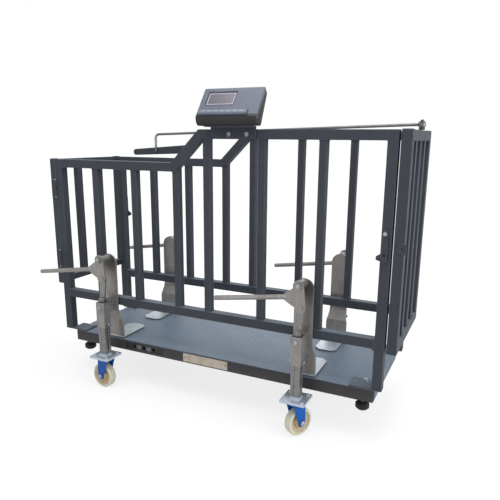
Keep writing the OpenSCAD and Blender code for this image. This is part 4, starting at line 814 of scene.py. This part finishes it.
# A painted shadow of the lever darkens the bracket's outer face round each pivot, behind the lever.
centred = add(tree, "ShaderNodeVectorMath", {0: place, 1: ((jack_left + jack_right) / 2, 0, 0)},
              operation="SUBTRACT")
folded = add(tree, "ShaderNodeVectorMath", {0: centred.outputs[0]}, operation="ABSOLUTE")
from_pivot = add(tree, "ShaderNodeVectorMath", {
    0: folded.outputs[0], 1: ((jack_right - jack_left) / 2, boss_face, pivot_height)}, operation="SUBTRACT")
on_face = add(tree, "ShaderNodeVectorMath", {0: from_pivot.outputs[0], 1: (1, 25, 0.8)}, operation="MULTIPLY")
lever_shadow_reach = add(tree, "ShaderNodeVectorMath", {0: on_face.outputs[0]}, operation="LENGTH")
tarnish_and_shadow_share = add(tree, "ShaderNodeMapRange", {
    0: lever_shadow_reach.outputs["Value"], 1: 0.085, 2: 0.030, 3: 0.0, 4: 0.72})
tarnished_and_shadowed = add(tree, "ShaderNodeMix", {0: tarnish_and_shadow_share.outputs[0], 6: bared.outputs[2], 7: linear("#45413a")},
              data_type="RGBA")
rounded_edge, rub = rubbed_edges(tree, radius=0.0015, strongest=0.5)
edged = add(tree, "ShaderNodeMix", {0: rub, 6: tarnished_and_shadowed.outputs[2], 7: linear("#b3afa8")}, data_type="RGBA")
# The cut edges of the feet, where they meet the deck, are painted dark as shade.
foot_edge_shade_share = add(tree, "ShaderNodeMapRange", {0: height, 1: 0.0072, 2: 0.0058, 3: 0.0, 4: 0.85})
worn = add(tree, "ShaderNodeMix", {0: foot_edge_shade_share.outputs[0], 6: edged.outputs[2], 7: linear("#33363b")},
           data_type="RGBA")
skin = add(tree, "ShaderNodeBump", {
    "Height": mill.outputs[0], "Strength": 0.12, "Distance": 0.0005, "Normal": rounded_edge})
sheen = add(tree, "ShaderNodeMapRange", {0: smudge.outputs[0], 1: 0.3, 2: 0.75, 3: 0.36, 4: 0.55})
shader = add(tree, "ShaderNodeBsdfPrincipled", {
    "Base Color": worn.outputs[2], "Metallic": 0.7, "Roughness": sheen.outputs[0], "Normal": skin.outputs[0]})
add(tree, "ShaderNodeOutputMaterial", {0: shader.outputs[0]})
coat(rolled_plate, "jack_brackets", "jack_sleeves")

# Plated tube: the legs are grey and scored along their length, and turn to bright zinc at the caster plates.
plated_tube, tree, place = new_finish("plated steel tube")
stretched = add(tree, "ShaderNodeMapping", {"Vector": place, "Scale": (1, 1, 0.05)})
scores = add(tree, "ShaderNodeTexNoise", {"Vector": stretched.outputs[0], "Scale": 1 / 0.004, "Detail": 4})
grease = add(tree, "ShaderNodeTexNoise", {
    "Vector": place, "Scale": 1 / 0.035, "Detail": 5, "Roughness": 0.62})
tone = add(tree, "ShaderNodeMix", {0: scores.outputs[0], 6: linear("#6f6e6d"), 7: linear("#8f8e8c")},
           data_type="RGBA")
grease_share = add(tree, "ShaderNodeMapRange", {0: grease.outputs[0], 1: 0.50, 2: 0.78, 4: 0.65})
greased = add(tree, "ShaderNodeMix", {0: grease_share.outputs[0], 6: tone.outputs[2], 7: linear("#54504b")},
              data_type="RGBA")
height = add(tree, "ShaderNodeSeparateXYZ", {0: place}).outputs["Z"]
bright_share = add(tree, "ShaderNodeMapRange", {0: height, 1: -0.050, 2: -0.055, 3: 0.0, 4: 0.95})
bright = add(tree, "ShaderNodeMix", {0: bright_share.outputs[0], 6: greased.outputs[2], 7: linear("#bac3ce")},
             data_type="RGBA")
rounded_edge, rub = rubbed_edges(tree, radius=0.0015, strongest=0.5)
worn = add(tree, "ShaderNodeMix", {0: rub, 6: bright.outputs[2], 7: linear("#c3c6c8")}, data_type="RGBA")
sheen = add(tree, "ShaderNodeMapRange", {0: grease.outputs[0], 1: 0.3, 2: 0.75, 3: 0.32, 4: 0.52})
shader = add(tree, "ShaderNodeBsdfPrincipled", {
    "Base Color": worn.outputs[2], "Metallic": 0.75, "Roughness": sheen.outputs[0], "Normal": rounded_edge})
add(tree, "ShaderNodeOutputMaterial", {0: shader.outputs[0]})
for key, x, side in jacks:
    coat(rolled_plate, "jack_lever_" + key)
    coat(plated_tube, "jack_link_" + key, "jack_leg_" + key)


def bolt_head(reach, height, dome):
    """A hexagon with a chamfered rim under a low dome, on the origin along Z; reach is to its corners."""
    rim_share, chamfer_share, dome_share = 0.82, 0.9, 0.72
    turns = [k * math.pi / 6 for k in range(12)]
    hexagon = [1 if k % 2 == 0 else math.cos(math.pi / 6) for k in range(12)]
    layers = [(reach, 0.0, hexagon), (reach, height * rim_share, hexagon),
              (reach * chamfer_share, height, hexagon)]
    layers += [(reach * dome_share * math.cos(t), height + dome * math.sin(t), [1] * 12)
               for t in (0.0, 0.45, 0.85, 1.2)]
    return as_mesh(skinned([[(radius * share * math.cos(t), radius * share * math.sin(t), z)
                             for t, share in zip(turns, shares)] for radius, z, shares in layers]))


# A bolt stands out of each sleeve near its top, a nut closes each end of its guide pin, and the pivot
# pin's end shows in the middle of its nut.
sleeve_low, sleeve_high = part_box("jack_sleeves")
bolt_sunk, bolt_drop, nut_sunk = 0.0004, 0.022, 0.004
guide_height, pivot_nut_face = 0.092, 0.3336
guide_reach = jack_left - sleeve_low.x - nut_sunk
sleeve_bolts, pin_nuts, pivot_ends = [], [], []
for key, x, side in jacks:
    out = Vector((0, side, 0))
    sleeve_bolts.append((Vector((x, side * (sleeve_high.y - bolt_sunk), sleeve_high.z - bolt_drop)), out))
    pivot_ends.append((Vector((x, side * pivot_nut_face, pivot_height)), out))
    pin_nuts += [(Vector((x + way * guide_reach, side * jack_out, guide_height)), Vector((way, 0, 0)))
                 for way in (-1, 1)]
for name, seats, head in (
        ("sleeve_bolts", sleeve_bolts, bolt_head(reach=0.0085, height=0.0050, dome=0.0008)),
        ("pivot_ends", pivot_ends, bolt_head(reach=0.0090, height=0.0035, dome=0.0025)),
        ("guide_pin_nuts", pin_nuts, bolt_head(reach=0.0075, height=0.0055, dome=0.0010))):
    set_out(name, seats, head, "crate", bright_zinc)

# The seam of each leg: the tube is folded, and its edges meet down the outer face; the dark line along it is
# a strip of painted shade.
leg_face, seam_aside, seam_half, seam_depth = 0.3311, 0.004, 0.0016, 0.0008
seam_low, seam_high, seam_point, point_share = -0.056, 0.150, 0.004, 0.3
seam_across = ((-1, -seam_depth), (-0.6, 0.0), (0.6, 0.0), (1, -seam_depth))
seam_along = ((seam_low, point_share), (seam_low + seam_point, 1.0),
              (seam_high - seam_point, 1.0), (seam_high, point_share))
for key, x, side in jacks:
    seam_shade_strip = skinned([[(x - seam_aside + a * seam_half * share, side * (leg_face + out), z)
                     for a, out in seam_across] for z, share in seam_along])
    new_piece("leg_seam_" + key, as_mesh(seam_shade_strip, box_plastic), "jack_leg_" + key)

# Weld beads: round each pivot boss, and round each leg where it meets its caster plate.
boss_radius, boss_bead, boss_steps = 0.016, 0.004, 24
turns = [k / boss_steps * 2 * math.pi for k in range(boss_steps + 1)]
bosses = [[(x + boss_radius * math.cos(a), side * boss_face, pivot_height + boss_radius * math.sin(a))
           for a in turns] for key, x, side in jacks]
bead("boss_welds", bosses, "crate", rolled_plate, boss_bead)
leg_half, caster_plate_top = 0.019, -0.062
for key, x, side in jacks:
    foot = [(x + a * leg_half, side * jack_out + b * leg_half, caster_plate_top)
            for a, b in ((-1, -1), (1, -1), (1, 1), (-1, 1), (-1, -1))]
    bead("leg_weld_" + key, [foot], "jack_leg_" + key, plated_tube)


# CASTERS
# Four swivel casters: a pressed steel yoke under blue lacquer, an axle through it that ends in plated nuts,
# and a cream wheel cast in nylon. Each swivels under the plate at the foot of a jack's leg.

# Blue lacquer: glossy over zinc, thin on the edges, with a dusty bloom.
blue_lacquer, tree, place = new_finish("blue lacquer on pressed steel")
bloom = add(tree, "ShaderNodeTexNoise", {"Vector": place, "Scale": 1 / 0.03, "Detail": 4})
tone = add(tree, "ShaderNodeMix", {0: bloom.outputs[0], 6: linear("#0a4c9e"), 7: linear("#1360b6")},
           data_type="RGBA")
rounded_edge, rub = rubbed_edges(tree, radius=0.002, strongest=0.5)
worn = add(tree, "ShaderNodeMix", {0: rub, 6: tone.outputs[2], 7: linear("#5c8ac4")}, data_type="RGBA")
shader = add(tree, "ShaderNodeBsdfPrincipled", {
    "Base Color": worn.outputs[2], "Roughness": 0.34, "Normal": rounded_edge, "IOR": 1.5,
    "Specular IOR Level": 0.2})
add(tree, "ShaderNodeOutputMaterial", {0: shader.outputs[0]})

# A plated dome nut closes each end of an axle, over the yoke's own hexagon.
axle_reach = 0.0271
axles = {joint["name"]: Vector(joint["axis"]) for joint in frame["record"]["behaviour"]["joints"]}
for key, x, side in jacks:
    coat(blue_lacquer, "caster_yoke_" + key)
    low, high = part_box("caster_wheel_" + key)
    reach = axles["wheel_" + key] * axle_reach
    ends = [((low + high) / 2 + way * reach, way * reach) for way in (1, -1)]
    set_out("axle_nuts_" + key, ends, bolt_head(reach=0.0127, height=0.0066, dome=0.0042),
            "caster_yoke_" + key, bright_zinc)

# Cast nylon: cream and waxy on the tread, tan in the dished web and at the hub.
# The tan follows each wheel's own centre, so each wheel has its own copy.
for key, x, side in jacks:
    cast_nylon, tree, place = new_finish("cast nylon " + key)
    low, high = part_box("caster_wheel_" + key)
    centred = add(tree, "ShaderNodeMapping", {"Vector": place, "Location": -(low + high) / 2})
    radius = add(tree, "ShaderNodeVectorMath", {0: centred.outputs[0]}, operation="LENGTH")
    mottle = add(tree, "ShaderNodeTexNoise", {"Vector": place, "Scale": 1 / 0.015, "Detail": 5})
    cream = add(tree, "ShaderNodeMix", {0: mottle.outputs[0], 6: linear("#cdc7ae"), 7: linear("#e2deca")},
                data_type="RGBA")
    uneven = add(tree, "ShaderNodeMath", {0: mottle.outputs[0], 1: 0.010, 2: radius.outputs["Value"]},
                 operation="MULTIPLY_ADD")
    tan_share = add(tree, "ShaderNodeMapRange", {0: uneven.outputs[0], 1: 0.058, 2: 0.040, 3: 0.0, 4: 0.85})
    tan = add(tree, "ShaderNodeMix", {0: tan_share.outputs[0], 6: cream.outputs[2], 7: linear("#b99a70")},
              data_type="RGBA")
    soil_share = add(tree, "ShaderNodeMapRange", {0: uneven.outputs[0], 1: 0.062, 2: 0.067, 3: 0.0, 4: 0.35})
    soiled = add(tree, "ShaderNodeMix", {0: soil_share.outputs[0], 6: tan.outputs[2], 7: linear("#8d877a")},
                 data_type="RGBA")
    rounded_edge = add(tree, "ShaderNodeBevel", {"Radius": 0.0025}, samples=4)
    shader = add(tree, "ShaderNodeBsdfPrincipled", {
        "Base Color": soiled.outputs[2], "Roughness": 0.42, "IOR": 1.53, "Normal": rounded_edge.outputs[0],
        "Specular IOR Level": 0.4})
    add(tree, "ShaderNodeOutputMaterial", {0: shader.outputs[0]})
    coat(cast_nylon, "caster_wheel_" + key)


# STAGE
# A pale floor under the wheels, four soft lamps and a white surround, as in a studio. The floor and the
# surround show white but light the part more softly. The camera stands where the photograph was taken.

def seen_directly(tree):
    """1 for rays from the camera, a shine or a clear piece, which see the stage, and 0 for its light."""
    ray = add(tree, "ShaderNodeLightPath").outputs
    mirrored = add(tree, "ShaderNodeMath", {0: ray["Is Camera Ray"], 1: ray["Is Glossy Ray"]},
                   operation="MAXIMUM")
    direct = add(tree, "ShaderNodeMath", {0: mirrored.outputs[0], 1: ray["Is Transmission Ray"]},
                 operation="MAXIMUM")
    return direct.outputs[0]


# Matt white paint: it takes a soft shadow near the part and pales to pure white further out.
pale_floor, tree, place = new_finish("pale studio floor")
out_there = add(tree, "ShaderNodeVectorMath", {0: place}, operation="LENGTH")
paling = add(tree, "ShaderNodeMapRange", {0: out_there.outputs["Value"], 1: 0.9, 2: 1.9, 3: 0.72, 4: 1.0},
             interpolation_type="SMOOTHSTEP")
white_share = add(tree, "ShaderNodeMath", {0: seen_directly(tree), 1: paling.outputs[0]},
                  operation="MULTIPLY")
lit = add(tree, "ShaderNodeBsdfDiffuse", {0: linear("#e9e9e9")})
glow = add(tree, "ShaderNodeEmission", {0: (1, 1, 1, 1), "Strength": 1.08})
floor_mix = add(tree, "ShaderNodeMixShader", {
    0: white_share.outputs[0], 1: lit.outputs[0], 2: glow.outputs[0]})
add(tree, "ShaderNodeOutputMaterial", {0: floor_mix.outputs[0]})
floor_reach, floor_z = 30.0, cad_box[0].z
floor_mesh = bpy.data.meshes.new("floor")
floor_mesh.from_pydata([(a * floor_reach, b * floor_reach, floor_z)
                        for a, b in ((-1, -1), (1, -1), (1, 1), (-1, 1))], [], [(0, 1, 2, 3)])
floor_mesh.materials.append(pale_floor)
new_object("floor", floor_mesh)

world = bpy.data.worlds.new("studio")
bpy.context.scene.world = world
world.use_nodes = True
tree = world.node_tree
tree.nodes.clear()
soft = add(tree, "ShaderNodeBackground", {0: (0.93, 0.96, 1.0, 1), 1: 0.46})
white = add(tree, "ShaderNodeBackground", {0: (1, 1, 1, 1), 1: 1.0})
sky = add(tree, "ShaderNodeMixShader", {0: seen_directly(tree), 1: soft.outputs[0], 2: white.outputs[0]})
add(tree, "ShaderNodeOutputWorld", {0: sky.outputs[0]})

lamp_target = Vector((0, 0, 0.4))
for name, at, size, power, colour in (("overhead", (0.4, -0.6, 3.6), 3.2, 105, (1, 1, 1)),
                                      ("front", (-1.6, -3.6, 1.8), 2.4, 22, (1, 1, 1)),
                                      ("right", (3.6, -0.3, 1.0), 2.2, 62, (0.90, 0.95, 1.0)),
                                      ("back", (-1.5, 4.0, 2.4), 2.4, 26, (1, 1, 1))):
    lamp = bpy.data.lights.new(name, "AREA")
    lamp.size, lamp.energy, lamp.color = size, power, colour
    stand = new_object(name, lamp)
    stand.location = at
    stand.rotation_euler = (lamp_target - Vector(at)).to_track_quat("-Z", "Y").to_euler()

# The camera, as fitted to the photograph: its place in metres, its angles, and its lens in pixels.
image_pixels, focal_pixels, centre_x_pixels, centre_y_pixels = 500, 526.332, 248.91, 260.97
camera_place, yaw, pitch, roll = (1.11608, -2.1393, 0.94601), 0.44435, 0.228135, 0.0081095
ahead = Vector((-math.sin(yaw) * math.cos(pitch), math.cos(yaw) * math.cos(pitch), -math.sin(pitch)))
level_right = Vector((math.cos(yaw), math.sin(yaw), 0))
level_up = level_right.cross(ahead)
right = level_right * math.cos(roll) + level_up * math.sin(roll)
up = level_up * math.cos(roll) - level_right * math.sin(roll)
view = bpy.data.cameras.new("camera")
view.sensor_width = 36
view.lens = focal_pixels / image_pixels * view.sensor_width
view.shift_x = (image_pixels / 2 - centre_x_pixels) / image_pixels
view.shift_y = (centre_y_pixels - image_pixels / 2) / image_pixels
view.clip_end = 100
camera = new_object("camera", view)
camera.matrix_world = Matrix.Translation(camera_place) @ Matrix((right, up, -ahead)).transposed().to_4x4()
bpy.context.scene.camera = camera
bpy.context.scene.view_settings.view_transform = "Standard"
